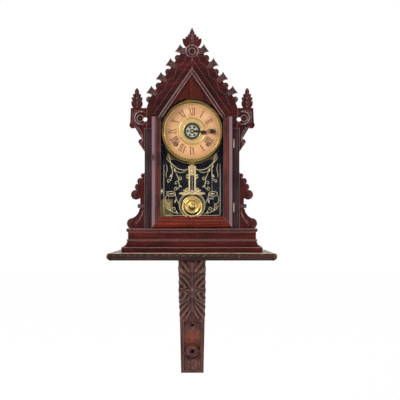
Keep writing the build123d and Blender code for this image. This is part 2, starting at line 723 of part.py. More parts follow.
def rebate():
    """Room for the glass and its beads at the back of the frame."""
    return board(house(SIGHT_HALF + GLASS_LAP + SEAT, SIGHT_FOOT - GLASS_LAP - SEAT,
                       -RAIL_WIDE + GLASS_LAP + SEAT), DOOR_BACK - 1, 1 + SIGHT_THICK - GLASS_LIP)


def prism(points):
    """Cutting prism through the whole door thickness."""
    return board(facing(points), DOOR_BACK - 2, DOOR_THICK + CROWN + 4)


def door_stile():
    wide = DOOR_HALF - SIGHT_HALF
    run = rail_run((SIGHT_HALF, DOOR_FOOT), (0, 1), (1, 0), SHOULDER - DOOR_FOOT, wide, STRIP_WIDE)
    cut = prism([(DOOR_HALF + 1, DOOR_FOOT), (DOOR_HALF + 1, SHOULDER), (GABLE_FOOT, SHOULDER),
                 (SIGHT_HALF, SIGHT_SHOULDER), (SIGHT_HALF, SIGHT_FOOT), (DOOR_HALF, DOOR_FOOT)])
    return (run & cut) - rebate()


def door_gable():
    length = hypot(GABLE_FOOT, DOOR_APEX - SHOULDER) + 2 * RAIL_WIDE
    start = (GABLE_FOOT - RAIL_WIDE * SIN_P + RAIL_WIDE * COS_P,
             SHOULDER - RAIL_WIDE * COS_P - RAIL_WIDE * SIN_P)
    run = rail_run(start, (-COS_P, SIN_P), (SIN_P, COS_P), length, RAIL_WIDE, RAIL_WIDE - 0.8)
    cut = prism([(0, rake(0, 0)), (GABLE_FOOT, SHOULDER), (SIGHT_HALF, SIGHT_SHOULDER),
                 (0, rake(-RAIL_WIDE, 0))])
    return (run & cut) - rebate()


def door_bottom_rail():
    high = SIGHT_FOOT - DOOR_FOOT
    run = rail_run((-DOOR_HALF, SIGHT_FOOT), (1, 0), (0, -1), 2 * DOOR_HALF, high, STRIP_WIDE)
    run += box((-DOOR_HALF, DOOR_HALF), (DOOR_BACK, DOOR_FACE - 1.2), (DOOR_FOOT + 1, SIGHT_FOOT - LEDGE))
    cut = prism([(-DOOR_HALF, DOOR_FOOT), (DOOR_HALF, DOOR_FOOT), (SIGHT_HALF, SIGHT_FOOT),
                 (-SIGHT_HALF, SIGHT_FOOT)])
    return (run & cut) - rebate()


def door_glass():
    front = DOOR_BACK + SIGHT_THICK - GLASS_LIP
    return board(house(SIGHT_HALF + GLASS_LAP - SEAT, SIGHT_FOOT - GLASS_LAP + SEAT, -RAIL_WIDE + GLASS_LAP - SEAT),
                 front - GLASS_THICK, GLASS_THICK)


def glass_beads():
    """Strips that hold the glass in from behind."""
    outer = house(SIGHT_HALF + GLASS_LAP, SIGHT_FOOT - GLASS_LAP, -RAIL_WIDE + GLASS_LAP)
    inner = house(SIGHT_HALF + BEAD_IN, SIGHT_FOOT - BEAD_IN, -RAIL_WIDE + BEAD_IN)
    deep = SIGHT_THICK - GLASS_LIP - GLASS_THICK
    return board(outer - inner, DOOR_BACK, deep)


def hinge(height, door_leaf):
    """One leaf of a butt hinge with its share of the knuckles; the pin stays with the case leaf."""
    third = HINGE_LONG / 3
    low = height - HINGE_LONG / 2
    outer = (low + third, low + 2 * third)
    spans = [outer] if door_leaf else [(low, low + third), (low + 2 * third, low + HINGE_LONG)]
    whole = None
    for bottom, top in spans:
        spare = GAP / 2 if door_leaf else 0
        bottom, top = bottom + spare, top - spare
        knuckle = Pos(PIN_X, -PIN_DEPTH, up((bottom + top) / 2)) * Cylinder(KNUCKLE_R, top - bottom)
        if door_leaf:
            knuckle -= Pos(PIN_X, -PIN_DEPTH, up(height)) * Cylinder(PIN_R + RUN, HINGE_LONG)
            arm = box((DOOR_HALF - LEAF_THICK, PIN_X - PIN_R - RUN - 0.3), (PIN_DEPTH, PIN_DEPTH + LEAF_THICK),
                      (bottom, top))
        else:
            arm = box((PIN_X - KNUCKLE_R, PIN_X), (FRONT_FACE - LEAF_THICK, PIN_DEPTH - 0.5), (bottom, top))
        piece = knuckle + arm
        whole = piece if whole is None else whole + piece
    if door_leaf:
        return whole + box((DOOR_HALF - LEAF_THICK, DOOR_HALF), (DOOR_BACK + 0.6, DOOR_FACE - 0.6),
                           (low, low + HINGE_LONG))
    whole += Pos(PIN_X, -PIN_DEPTH, up(height)) * Cylinder(PIN_R, HINGE_LONG)
    return whole + box((PIN_X - LEAF_WIDE, PIN_X), (FRONT_FACE - LEAF_THICK, FRONT_FACE), (low, low + HINGE_LONG))


def latch():
    """Thumb turn: a flat grip, a shaft through the left stile and a tongue behind it."""
    x, height = -LATCH_X, LATCH_HEIGHT
    grip = box((x - GRIP_THICK / 2, x + GRIP_THICK / 2), (DOOR_FACE + CROWN + GAP + 1.5, DOOR_FACE + CROWN + 8.0),
               (height - GRIP_LONG / 2, height + GRIP_LONG / 2))
    grip = fillet([e for e in grip.edges() if abs(e.length - GRIP_LONG) < 0.01], GRIP_THICK / 2 - 0.3)
    collar = rod(x, height, 3.0, DOOR_FACE + CROWN + GAP, DOOR_FACE + CROWN + GAP + 1.5)
    shaft = rod(x, height, LATCH_SHAFT_R, TONGUE_BACK, DOOR_FACE + CROWN + GAP + 1.5)
    tongue = box((x - 1.2, x + 1.2), (TONGUE_BACK, TONGUE_BACK + 1.4), (height - 1.2, height + LATCH_TONGUE))
    return grip + collar + shaft + tongue


def latch_keeper():
    """Pin across the pocket, in front of the tongue when it is turned up."""
    depth = TONGUE_BACK + 1.4 + GAP + KEEPER_R
    length = LATCH_X + 2.2 + 3 - STILE_INNER
    middle = -(STILE_INNER + length / 2)
    return Pos(middle, -depth, up(LATCH_HEIGHT + KEEPER_RISE)) * Rot(0, 90, 0) * Cylinder(KEEPER_R, length)


# Dial


def dial_pan():
    pan = rod(0, DIAL_HEIGHT, PAN_R, PAN_BACK, DIAL_FACE)
    pan -= rod(0, DIAL_HEIGHT, RING_OPEN_R, PAN_BACK - 1, DIAL_FACE + 1)
    for side in (-1, 1):
        pan -= rod(side * WIND_X, DIAL_HEIGHT - WIND_DROP, WIND_HOLE_R, PAN_BACK - 1, DIAL_FACE + 1)
    return pan - dial_screws(RUN)


def dial_bezel():
    """Cast bezel: flat flange, domed body and a bright inner lip."""
    inner, outer, base = BEZEL_OPEN_R, BEZEL_R, DIAL_FACE
    flange, crest_r = outer - 4.5, inner + 4.0
    face = make_face([
        Line((inner, -base), (outer, -base)), Line((outer, -base), (outer, -base - BEZEL_LIP)),
        Line((outer, -base - BEZEL_LIP), (flange, -base - BEZEL_LIP)),
        ThreePointArc((flange, -base - BEZEL_LIP), (flange - 1.2, -base - BEZEL_DEEP * 0.7),
                      (crest_r, -base - BEZEL_DEEP)),
        ThreePointArc((crest_r, -base - BEZEL_DEEP), (inner + 1.6, -base - BEZEL_DEEP * 0.6),
                      (inner, -base - BEZEL_LIP)),
        Line((inner, -base - BEZEL_LIP), (inner, -base))])
    ring = revolve(Pos(0, 0, up(DIAL_HEIGHT)) * face, Axis((0, 0, up(DIAL_HEIGHT)), (0, 1, 0)), 360)
    return ring - dial_screws(RUN)


def dial_rings():
    """Stamped brass centre ring and the rings round the winding holes."""
    face, high = DIAL_FACE, RING_HIGH
    centre = turned([(RING_OPEN_R, face), (RING_R, face), (RING_R, face + 0.6), (RING_R - 3, face + high),
                     (RING_R - 6, face + high * 0.4), (RING_OPEN_R + 3, face + high * 0.5),
                     (RING_OPEN_R + 1, face + high), (RING_OPEN_R, face + high)], 0, DIAL_HEIGHT)
    rings = [centre]
    for side in (-1, 1):
        rings.append(turned([(WIND_HOLE_R, face), (WIND_RING_R, face), (WIND_RING_R - 0.5, face + 0.8),
                             (WIND_HOLE_R, face + 0.8)], side * WIND_X, DIAL_HEIGHT - WIND_DROP))
    return Compound(children=rings)


def alarm_disc():
    """Small disc that is turned to set the alarm, pierced with six windows."""
    face = disc(0, DIAL_HEIGHT, ALARM_R) - disc(0, DIAL_HEIGHT, PIPE_R + RUN)
    for i in range(ALARM_WINDOWS):
        window = Pos(0, up(DIAL_HEIGHT)) * Rot(0, 0, 360 / ALARM_WINDOWS * i) * Pos(ALARM_R * 0.62, 0) * Ellipse(
            2.4, 3.8)
        face -= window
    plate = board(face, ALARM_PLANE, ALARM_DISC_THICK)
    hub = turned([(PIPE_R + RUN, ALARM_PLANE), (5.2, ALARM_PLANE), (5.2, ALARM_PLANE + 2.2),
                  (PIPE_R + RUN, ALARM_PLANE + 2.2)], 0, DIAL_HEIGHT)
    return plate + hub


def hand(length, root, tip, spade, bore, plane, angle):
    """Flat hand with a hub, a tapered blade and a spade at its end."""
    blade = Polygon((-root, 0), (root, 0), (tip, length - spade), (-tip, length - spade), align=None)
    wide = spade * 0.36
    head = make_face([
        ThreePointArc((0, length), (wide * 0.62, length - spade * 0.42), (wide, length - spade * 0.72)),
        ThreePointArc((wide, length - spade * 0.72), (wide * 0.7, length - spade * 0.98), (0, length - spade)),
        ThreePointArc((0, length - spade), (-wide * 0.7, length - spade * 0.98), (-wide, length - spade * 0.72)),
        ThreePointArc((-wide, length - spade * 0.72), (-wide * 0.62, length - spade * 0.42), (0, length))])
    shape = blade + head + Circle(root * 2.6) - Circle(bore)
    return board(Pos(0, up(DIAL_HEIGHT)) * Rot(0, 0, -angle) * shape, plane, HAND_THICK)


def hour_hand():
    """Hour hand riveted to its pipe."""
    blade = hand(HOUR_LONG, 2.0, 1.0, 14.0, CENTRE_R + RUN, HOUR_PLANE, HOUR_ANGLE)
    pipe = turned([(CENTRE_R + RUN, FRONT_PLATE + PLATE_THICK + GAP), (PIPE_R, FRONT_PLATE + PLATE_THICK + GAP),
                   (PIPE_R, HOUR_PLANE + 0.5), (CENTRE_R + RUN, HOUR_PLANE + 0.5)], 0, DIAL_HEIGHT)
    return blade + pipe


def minute_hand():
    return hand(MINUTE_LONG, 1.5, 0.7, 15.0, CENTRE_R, MINUTE_PLANE, MINUTE_ANGLE)


def hand_nut():
    """Domed collet that holds the minute hand on its arbor."""
    back = MINUTE_PLANE + HAND_THICK
    return turned([(CENTRE_R, back), (3.2, back), (3.0, back + 1.0), (1.8, back + 1.8), (CENTRE_R, back + 1.8)],
                  0, DIAL_HEIGHT)


def dial_screws(spare=0.0):
    """Four small screws through the bezel's flange and the pan into the blocks."""
    screws = []
    front = DIAL_FACE + BEZEL_LIP
    for x in (-DIAL_SCREW_X, DIAL_SCREW_X):
        for rise in (-DIAL_SCREW_RISE, DIAL_SCREW_RISE):
            r = DIAL_SCREW_R + spare
            tip = PAN_BACK - 6 - spare
            if spare:
                screws.append(turned([(0, tip), (r, tip), (r, front + 1), (0, front + 1)], x, DIAL_HEIGHT + rise))
            else:
                screws.append(turned([(0, tip), (r, tip), (r, front), (DIAL_SCREW_HEAD_R, front),
                                      (DIAL_SCREW_HEAD_R - 0.5, front + 0.9),
                                      (0, front + 0.9)], x, DIAL_HEIGHT + rise))
    return screws


def dial_blocks():
    """Wood blocks on the side boards that carry the dial."""
    block = box((BLOCK_INNER, CASE_HALF - SIDE_THICK), (PAN_BACK - BLOCK_THICK, PAN_BACK),
                (DIAL_HEIGHT - BLOCK_BELOW, EAVES))
    screws = dial_screws(RUN)
    return Compound(children=[block - screws, other_side(block) - screws])


# Movement


def plate_shape():
    """Movement plate: a rectangle with its corners taken off."""
    half, foot, top, snip = PLATE_HALF, PLATE_FOOT, PLATE_TOP, PLATE_SNIP
    return facing([(-half, foot + snip), (-half + snip, foot), (half - snip, foot), (half, foot + snip),
                   (half, top - snip), (half - snip, top), (-half + snip, top), (-half, top - snip)])


def arbor_holes(plane):
    """Bores of the arbors in one plate."""
    bores = [rod(side * WIND_X, DIAL_HEIGHT - WIND_DROP, ARBOR_R + RUN, plane - 1, plane + PLATE_THICK + 1)
             for side in (-1, 1)]
    for x, height, radius in ((0, DIAL_HEIGHT, CENTRE_R), (0, ESCAPE_HEIGHT, THIN_R),
                              (HAMMER_X, HAMMER_HEIGHT, THIN_R)):
        bores.append(rod(x, height, radius + RUN, plane - 1, plane + PLATE_THICK + 1))
    return bores


def plate_back():
    """Back plate with its four riveted pillars."""
    plate = board(plate_shape(), BACK_PLATE, PLATE_THICK) - arbor_holes(BACK_PLATE)
    plate -= movement_screws(RUN)
    for x, height in PILLAR_SPOTS:
        plate += turned([(0, BACK_FACE - 0.5), (PILLAR_R, BACK_FACE - 0.5), (PILLAR_R, FRONT_PLATE),
                         (PILLAR_R * 0.55, FRONT_PLATE), (PILLAR_R * 0.55, FRONT_OUTER + 1.5),
                         (0, FRONT_OUTER + 1.5)], x, height)
    return plate


def plate_front():
    """Front plate with the post that the pendulum hangs from and the verge stud."""
    plate = board(plate_shape(), FRONT_PLATE, PLATE_THICK) - arbor_holes(FRONT_PLATE)
    for x, height in PILLAR_SPOTS:
        plate -= rod(x, height, PILLAR_R * 0.55 + RUN, FRONT_PLATE - 1, FRONT_OUTER + 1)
    post = box((-2.2, 2.2), (FRONT_OUTER - 0.5, PENDULUM_PLANE + 2.0), (PIVOT_HEIGHT, PIVOT_HEIGHT + 5.0))
    slit = box((-POST_SLIT, POST_SLIT), (PENDULUM_PLANE - 2.5, PENDULUM_PLANE + 3.0),
               (PIVOT_HEIGHT - 1, PIVOT_HEIGHT + 4.0))
    stud = rod(0, VERGE_HEIGHT, THIN_R, FRONT_OUTER - 0.5, VERGE_PLANE + 3.2)
    return plate + (post - slit) + stud


def movement_screws(spare=0.0):
    """Shouldered wood screws that hold the movement off the backboard."""
    screws = []
    for x, height in SCREW_SPOTS:
        r = 1.4 + spare
        tip = CASE_GAP + 1.0 - spare
        if spare:
            section = [(0, tip), (r, tip), (r, BACK_FACE + 1), (0, BACK_FACE + 1)]
        else:
            section = [(0, tip), (r, tip), (r, CASE_BACK), (3.0, CASE_BACK), (3.0, BACK_PLATE), (r, BACK_PLATE),
                       (r, BACK_FACE), (2.8, BACK_FACE), (2.2, BACK_FACE + 1.6), (0, BACK_FACE + 1.6)]
        screws.append(turned(section, x, height))
    return screws


def spring_arbor():
    """Winding arbor with its great wheel, ratchet wheel and coiled mainspring."""
    height = DIAL_HEIGHT - WIND_DROP
    tip = DIAL_FACE + 1.5
    arbor = rod(WIND_X, height, ARBOR_R, BACK_PLATE, tip - 7)
    half = ARBOR_SQUARE / 2
    arbor += box((WIND_X - half, WIND_X + half), (tip - 8, tip), (height - half, height + half))
    wheel_back = FRONT_PLATE - 6.0
    place = Pos(WIND_X, up(height))
    wheel = board(place * gear_sketch(WHEEL_R, WHEEL_TEETH, 3.0), wheel_back, WHEEL_THICK)
    ratchet = board(place * gear_sketch(RATCHET_R, RATCHET_TEETH, 2.0), wheel_back + WHEEL_THICK, 1.6)
    spring = turned([(0, BACK_FACE + 3), (SPRING_R, BACK_FACE + 3), (SPRING_R, BACK_FACE + 3 + SPRING_WIDE),
                     (0, BACK_FACE + 3 + SPRING_WIDE)], WIND_X, height)
    return arbor + wheel + ratchet + spring


def centre_arbor():
    """Arbor that carries the minute hand, with its wheel."""
    tip = MINUTE_PLANE + HAND_THICK + 2.4
    arbor = rod(0, DIAL_HEIGHT, CENTRE_R, BACK_PLATE, tip)
    wheel = board(Pos(0, up(DIAL_HEIGHT)) * gear_sketch(11.5, 24, 1.6), BACK_FACE + 6, 1.2)
    return arbor + wheel


def escape_wheel():
    """Escape wheel on the end of its arbor, outside the front plate."""
    arbor = rod(0, ESCAPE_HEIGHT, THIN_R, BACK_PLATE, VERGE_PLANE + 1.0)
    wheel = gear_sketch(ESCAPE_R, ESCAPE_TEETH, 3.0) - Circle(ESCAPE_R - 4.6)
    wheel += Circle(2.4)
    for turn in (0, 90):
        wheel += Rot(0, 0, turn) * Rectangle(2 * ESCAPE_R - 8, 1.6)
    return arbor + board(Pos(0, up(ESCAPE_HEIGHT)) * wheel, VERGE_PLANE, 1.0)


def verge():
    """Steel strip with its two pallets, and the crutch wire with the loop round the rod."""
    height = VERGE_HEIGHT
    hub = turned([(THIN_R + RUN, VERGE_PLANE), (2.2, VERGE_PLANE), (2.2, VERGE_PLANE + 3.0),
                  (THIN_R + RUN, VERGE_PLANE + 3.0)], 0, height)
    arch = (disc(0, ESCAPE_HEIGHT, ESCAPE_R + 4.2) - disc(0, ESCAPE_HEIGHT, ESCAPE_R + 1.2)) & facing(
        [(-12, ESCAPE_HEIGHT + 8), (12, ESCAPE_HEIGHT + 8), (12, ESCAPE_HEIGHT + 30), (-12, ESCAPE_HEIGHT + 30)])
    strip = board(arch - disc(0, height, THIN_R + RUN), VERGE_PLANE, 1.0)
    wire = (VERGE_PLANE + 3.0 - CRUTCH_WIRE, VERGE_PLANE + 3.0)
    fork = (wire[0], PENDULUM_PLANE + 2.4)
    loop = (CRUTCH_LOOP, CRUTCH_LOOP + CRUTCH_WIRE)
    inner, outer, stem_x = CRUTCH_HALF, CRUTCH_HALF + CRUTCH_WIRE, CRUTCH_STEM_X
    whole = hub + strip + box((1.5, stem_x), wire, (height - CRUTCH_WIRE / 2, height + CRUTCH_WIRE / 2))
    whole += box((stem_x - CRUTCH_WIRE, stem_x), wire, (CRUTCH_LOOP, height + CRUTCH_WIRE / 2))
    whole += box((-outer, stem_x), wire, loop)
    for low, high in ((-outer, -inner), (inner, outer)):
        whole += box((low, high), fork, loop)
    return whole


def suspension_spring():
    """Thin strip between the post and the pendulum rod."""
    return box((-0.2, 0.2), (PENDULUM_PLANE - 2.0, PENDULUM_PLANE + 1.5), (PIVOT_HEIGHT - 14, PIVOT_HEIGHT + 3.6))


def pendulum_rod():
    top = PIVOT_HEIGHT - 8
    length = top - (BOB_HEIGHT - BOB_R - 8)
    middle = up(top - length / 2)
    bar = Pos(0, -PENDULUM_PLANE, middle) * Cylinder(ROD_R, length)
    slot = box((-0.25, 0.25), (PENDULUM_PLANE - 2.5, PENDULUM_PLANE + 2.5), (PIVOT_HEIGHT - 14.5, PIVOT_HEIGHT))
    clip = box((-1.6, 1.6), (PENDULUM_PLANE - 2.4, PENDULUM_PLANE + 2.4), (PIVOT_HEIGHT - 18, PIVOT_HEIGHT - 8))
    nut = Pos(0, -PENDULUM_PLANE, up(BOB_HEIGHT - BOB_R - 4)) * Cylinder(3.4, 3.0)
    return bar + clip - slot + nut


def bob():
    """Lens-shaped brass bob with raised rings and a centre boss."""
    half, plane, r = BOB_THICK / 2, PENDULUM_PLANE, BOB_R
    back, rim, ring = plane - half * 0.7, plane + half * 0.3, plane + half
    solid = turned([(0, back - 1.4), (r * 0.5, back - 1.0), (r - 2.5, back + 0.8), (r, plane), (r, rim - 0.6),
                    (r - 0.8, rim + 0.6), (r - 2.6, rim + 0.6), (r - 3.6, rim), (r - 5.2, rim + 0.3),
                    (r - 7.0, ring - 0.3), (r - 9.0, ring), (r - 11.0, ring - 0.5), (r - 12.4, rim + 0.6),
                    (6.4, rim + 0.4), (5.8, ring + 0.8), (3.6, ring + 2.0), (0, ring + 2.4)], 0, BOB_HEIGHT)
    return solid - Pos(0, -plane, up(BOB_HEIGHT)) * Cylinder(ROD_R + RUN, 3 * BOB_R)


def mirrored_pair(sketch):
    """A sketch and its mirror image on the other side of the rod."""
    other = mirror(sketch, about=Plane.YZ)
    return [sketch] + [face if face.normal_at().Z > 0 else -face for face in other.faces()]


def ornament_leaf(x, height, turn, reach, wide):
    """Leaf that points away from the rod, turned from upright."""
    return Pos(x, up(height)) * Rot(0, 0, -turn) * Pos(0, reach / 2) * Ellipse(wide / 2, reach / 2)


def pendulum_ornament():
    """Gilt stamping on the rod: a capital, two bars with curls, and a leafy foot above the bob."""
    inner, outer = BARS
    foot = BOB_HEIGHT + BOB_R + ORNAMENT_GAP
    top = foot + BARS_LONG
    leaf_height = foot + ORNAMENT_LEAVES[0][2] / 2
    shape = facing([(-outer - 1.2, top), (outer + 1.2, top), (outer - 2.8, top + 5), (inner - 1.4, top + 8),
                    (1.4 - inner, top + 8), (2.8 - outer, top + 5)])
    shape += facing([(-inner - 1, top - 17), (inner + 1, top - 17), (inner + 1, top + 1), (-inner - 1, top + 1)])
    shape += facing([(-outer, foot + 11), (-outer + 3, foot), (outer - 3, foot), (outer, foot + 11), (inner, foot + 11),
                     (0, foot + 3.5), (-inner, foot + 11)])
    right = [facing([(inner, foot + 9), (outer, foot + 9), (outer, top + 1), (inner, top + 1)])]
    right.append(disc(outer + 2.8, foot + 12, 4.4) - disc(outer + 2.8, foot + 12, 1.6))
    right += [ornament_leaf(inner, leaf_height, turn, reach, wide) for turn, reach, wide in ORNAMENT_LEAVES]
    right += [ornament_leaf(inner + 2, foot + rise, turn, reach, wide) for turn, reach, wide, rise in CURLS]
    for sketch in right:
        for piece in mirrored_pair(sketch):
            shape += piece
    return board(shape, PENDULUM_PLANE + ROD_R, ORNAMENT_THICK)


# Strike, gong and alarm


def strike_hammer():
    """Hammer arbor between the plates, with the wire that reaches down to the gong."""
    x, height = HAMMER_X, HAMMER_HEIGHT
    arbor = rod(x, height, THIN_R, BACK_PLATE, FRONT_OUTER)
    plane = GONG_PLANE
    arbor += rod(x, height, 2.4, plane - 2, plane + 2)
    wire = Pos(x, -plane, up(height - HAMMER_DROP / 2)) * Cylinder(0.9, HAMMER_DROP)
    centre, radius, _ = gong_turns()[-1]
    near = centre + radius + GONG_WIRE_WIDE / 2 + HAMMER_GAP
    long = x + 3.5 - near
    head = Pos(near + long / 2, -plane, up(height - HAMMER_DROP)) * Rot(0, 90, 0) * Cylinder(4.0, long)
    return arbor + wire + head


HAMMER_DROP = 95.0


def gong_turns():
    """Half turns of the coil: middle x, radius and side, each wider than the one before."""
    radius, centre, side = GONG_INNER_R, 0.0, 1
    turns = []
    for _ in range(GONG_HALF_TURNS):
        turns.append((centre, radius, side))
        centre += side * GONG_STEP / 2
        radius += GONG_STEP / 2
        side = -side
    return turns


def gong_coil():
    """Coil gong: one flat wire wound in half turns that grow step by step."""
    edges = [ThreePointArc((centre + side * radius, 0, 0), (centre, 0, side * radius), (centre - side * radius, 0, 0))
             for centre, radius, side in gong_turns()]
    spine = Wire([Pos(0, -GONG_PLANE, up(GONG_HEIGHT)) * e for e in edges])
    section = Plane(origin=spine @ 0, x_dir=(1, 0, 0), z_dir=(0, 0, 1)) * Rectangle(GONG_WIRE_WIDE, GONG_WIRE_DEEP)
    return sweep(section, path=spine)


def gong_gap():
    """Least gap between two windings of the coil, measured on points of its middle line."""
    steps = 24
    points = [(i * steps + k, centre + side * radius * cos(pi * k / steps), side * radius * sin(pi * k / steps))
              for i, (centre, radius, side) in enumerate(gong_turns()) for k in range(steps)]
    gaps = [hypot(x0 - x1, h0 - h1) for n0, x0, h0 in points for n1, x1, h1 in points if n1 - n0 > steps]
    return min(gaps) - GONG_WIRE_WIDE


def gong_base():
    """Cast block on the backboard that clamps the inner end of the coil."""
    x = GONG_INNER_R
    block = box((x - 5, x + 5), (CASE_BACK, GONG_PLANE - GONG_WIRE_DEEP / 2), (GONG_HEIGHT - 9, GONG_HEIGHT + 3))
    return block


def alarm_movement():
    """Two small plates, four posts and the spring between them."""
    x, height, half = ALARM_X, ALARM_HEIGHT, ALARM_HALF
    shape = facing([(x - half, height - half), (x + half, height - half), (x + half, height + half),
                    (x - half, height + half)])
    back = board(shape, CASE_BACK, 1.2)
    front = board(shape, CASE_BACK + 22, 1.2)
    whole = back + front
    for dx in (-1, 1):
        for dz in (-1, 1):
            whole += rod(x + dx * (half - 4), height + dz * (half - 4), 2.0, CASE_BACK + 0.5, CASE_BACK + 23)
    return whole + rod(x, height, 14.0, CASE_BACK + 6, CASE_BACK + 18) + rod(
        x, height, 2.0, CASE_BACK + 0.5, CASE_BACK + 30)


def bell_place():
    """Centre of the bell: x and height."""
    return ALARM_X - BELL_SHIFT, ALARM_HEIGHT + ALARM_HALF + BELL_R + 6


def alarm_bell():
    """Small dome bell on a stem above the alarm movement."""
    x, height = bell_place()
    back, r = CASE_BACK, BELL_R
    stem = rod(x, height, 1.6, back, back + 15)
    shell = turned([(0, back + 16), (0.3 * r, back + 15.6), (0.65 * r, back + 13), (0.9 * r, back + 8),
                    (r, back + 2), (r - 1.2, back + 2), (0.9 * r - 1.2, back + 7.4), (0.65 * r - 0.8, back + 11.6),
                    (0.3 * r, back + 14.2), (0, back + 14.6)], x, height)
    return stem + shell


def alarm_hammer():
    """Hammer that swings against the side of the bell from its arbor in the alarm plates."""
    bell_x, bell_height = bell_place()
    x, height = ALARM_X + ALARM_HAMMER_X, ALARM_HEIGHT + ALARM_HAMMER_X
    plane = CASE_BACK + 4
    arbor = rod(x, height, THIN_R, CASE_BACK + 1.2 + GAP, CASE_BACK + 22 - GAP)
    wire = box((x - 0.8, x + 0.8), (plane - 0.8, plane + 0.8), (height, bell_height))
    near = bell_x + BELL_R + BELL_GAP
    long = x + 1.5 - near
    head = Pos(near + long / 2, -plane, up(bell_height)) * Rot(0, 90, 0) * Cylinder(2.2, long)
    return arbor + wire + head


def build():
    """Make every piece and write it to its node."""
    save(shelf(), "bracket_shelf")
    save(corbel(), "bracket_corbel")
    save(Compound(children=shelf_screws()), "bracket_screws")
    save(base_front(), "base_front")
    save_pair(base_side(), "base_side")
    save(case_floor(), "case_floor")
    save_pair(side_board(), "side_board")
    save(backboard(), "backboard")
    save_pair(roof_board(), "roof_board")
    save(front_stile() - hinge_mortises(), "front_stile_right")
    left_stile = other_side(front_stile() - latch_pocket()) - latch_keeper()
    save(left_stile, "front_stile_left")
    save(latch_keeper(), "latch_keeper")
    save_pair(crest() - dishes(), "crest")
    save(top_finial() - dishes(), "top_finial")
    save_pair(ear() - dishes(), "ear")
    bosses = [turned_boss(0, DISH_HEIGHT)]
    boss_x, boss_height = from_ear(EAR_BOSS)
    bosses += [turned_boss(side * boss_x, boss_height) for side in (-1, 1)]
    save(Compound(children=bosses), "turned_bosses")
    save_pair(side_scroll(), "side_scroll")
    door_leaves = [hinge(h, True) for h in HINGE_HEIGHTS]
    save(door_stile() - door_leaves, "door_stile_right")
    save(other_side(door_stile()) - rod(-LATCH_X, LATCH_HEIGHT, LATCH_SHAFT_R + RUN, DOOR_BACK - 1, DOOR_FACE + 5),
         "door_stile_left")
    save(door_bottom_rail(), "door_bottom_rail")
    save_pair(door_gable(), "door_gable")
    save(door_glass(), "door_glass")
    save(glass_beads(), "glass_beads")
    save(Compound(children=[hinge(h, False) for h in HINGE_HEIGHTS]), "hinge_case_leaves")
    save(Compound(children=door_leaves), "hinge_door_leaves")
    save(latch(), "door_latch")
    save(dial_pan(), "dial_pan")
    save(dial_bezel(), "dial_bezel")
    save(dial_rings(), "dial_rings")
    save(alarm_disc(), "alarm_disc")
    save(hour_hand(), "hour_hand")
    save(minute_hand(), "minute_hand")
    save(hand_nut(), "hand_nut")
    save(dial_blocks(), "dial_blocks")
    save(Compound(children=dial_screws()), "dial_screws")
    save(plate_back(), "plate_back")
    save(plate_front(), "plate_front")
    save(Compound(children=movement_screws()), "movement_screws")
    save(spring_arbor(), "strike_spring_arbor")
    save(other_side(spring_arbor()), "time_spring_arbor")
    save(centre_arbor(), "centre_arbor")
    save(escape_wheel(), "escape_wheel")
    save(verge(), "verge")
    save(suspension_spring(), "suspension_spring")
    save(pendulum_rod(), "pendulum_rod")
    save(pendulum_ornament(), "pendulum_ornament")
    save(bob(), "pendulum_bob")
    save(strike_hammer(), "strike_hammer")
    save(gong_coil(), "gong_coil")
    save(gong_base(), "gong_base")
    save(alarm_movement(), "alarm_movement")
    save(alarm_bell(), "alarm_bell")
    save(alarm_hammer(), "alarm_hammer")
    print(f"gong coil: least gap to itself {gong_gap():.2f} mm")


os.makedirs("parts", exist_ok=True)
build()
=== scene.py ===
import random
from math import atan2, cos, exp, hypot, pi, radians, remainder, sin, tau

import bpy
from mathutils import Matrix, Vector


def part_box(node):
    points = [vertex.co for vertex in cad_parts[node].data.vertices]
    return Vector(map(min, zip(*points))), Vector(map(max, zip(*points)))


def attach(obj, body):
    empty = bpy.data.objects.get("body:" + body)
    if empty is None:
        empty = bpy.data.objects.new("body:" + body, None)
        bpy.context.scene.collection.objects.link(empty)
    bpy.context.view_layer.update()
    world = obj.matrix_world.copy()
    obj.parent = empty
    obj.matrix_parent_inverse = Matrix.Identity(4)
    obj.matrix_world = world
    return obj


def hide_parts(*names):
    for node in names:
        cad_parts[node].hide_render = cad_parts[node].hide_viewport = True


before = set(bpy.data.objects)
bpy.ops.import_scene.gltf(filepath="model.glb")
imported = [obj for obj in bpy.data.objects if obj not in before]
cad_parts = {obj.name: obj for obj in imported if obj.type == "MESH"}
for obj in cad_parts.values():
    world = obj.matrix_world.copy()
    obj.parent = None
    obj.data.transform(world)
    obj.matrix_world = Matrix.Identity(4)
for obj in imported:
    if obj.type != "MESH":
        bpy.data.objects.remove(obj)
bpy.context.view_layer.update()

# Places are millimetres: x to the right, depth from the wall towards the viewer, height above the shelf
MM = 0.001
SHELF_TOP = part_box("bracket_shelf")[1][2] / MM
FACE = -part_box("crest_right")[0][1] / MM
DIAL_LOW, DIAL_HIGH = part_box("dial_pan")
DIAL_HEIGHT = (DIAL_LOW[2] + DIAL_HIGH[2]) / 2 / MM - SHELF_TOP
DIAL_FACE = -DIAL_LOW[1] / MM
GLASS_BACK = -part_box("door_glass")[1][1] / MM
PITCH_DEG = 55.3
PITCH = radians(PITCH_DEG)
DOOR_APEX = 416.5
SIDES = ((-1, "left"), (1, "right"))


def at(x, depth, height):
    """Point in metres from a place in millimetres."""
    return Vector((x, -depth, SHELF_TOP + height)) * MM


def on_rake(along, out):
    """x and height of a point of the right-hand slope: along it from the apex, and out from it."""
    return (along * cos(PITCH) + out * sin(PITCH), DOOR_APEX - along * sin(PITCH) + out * cos(PITCH))


# Materials


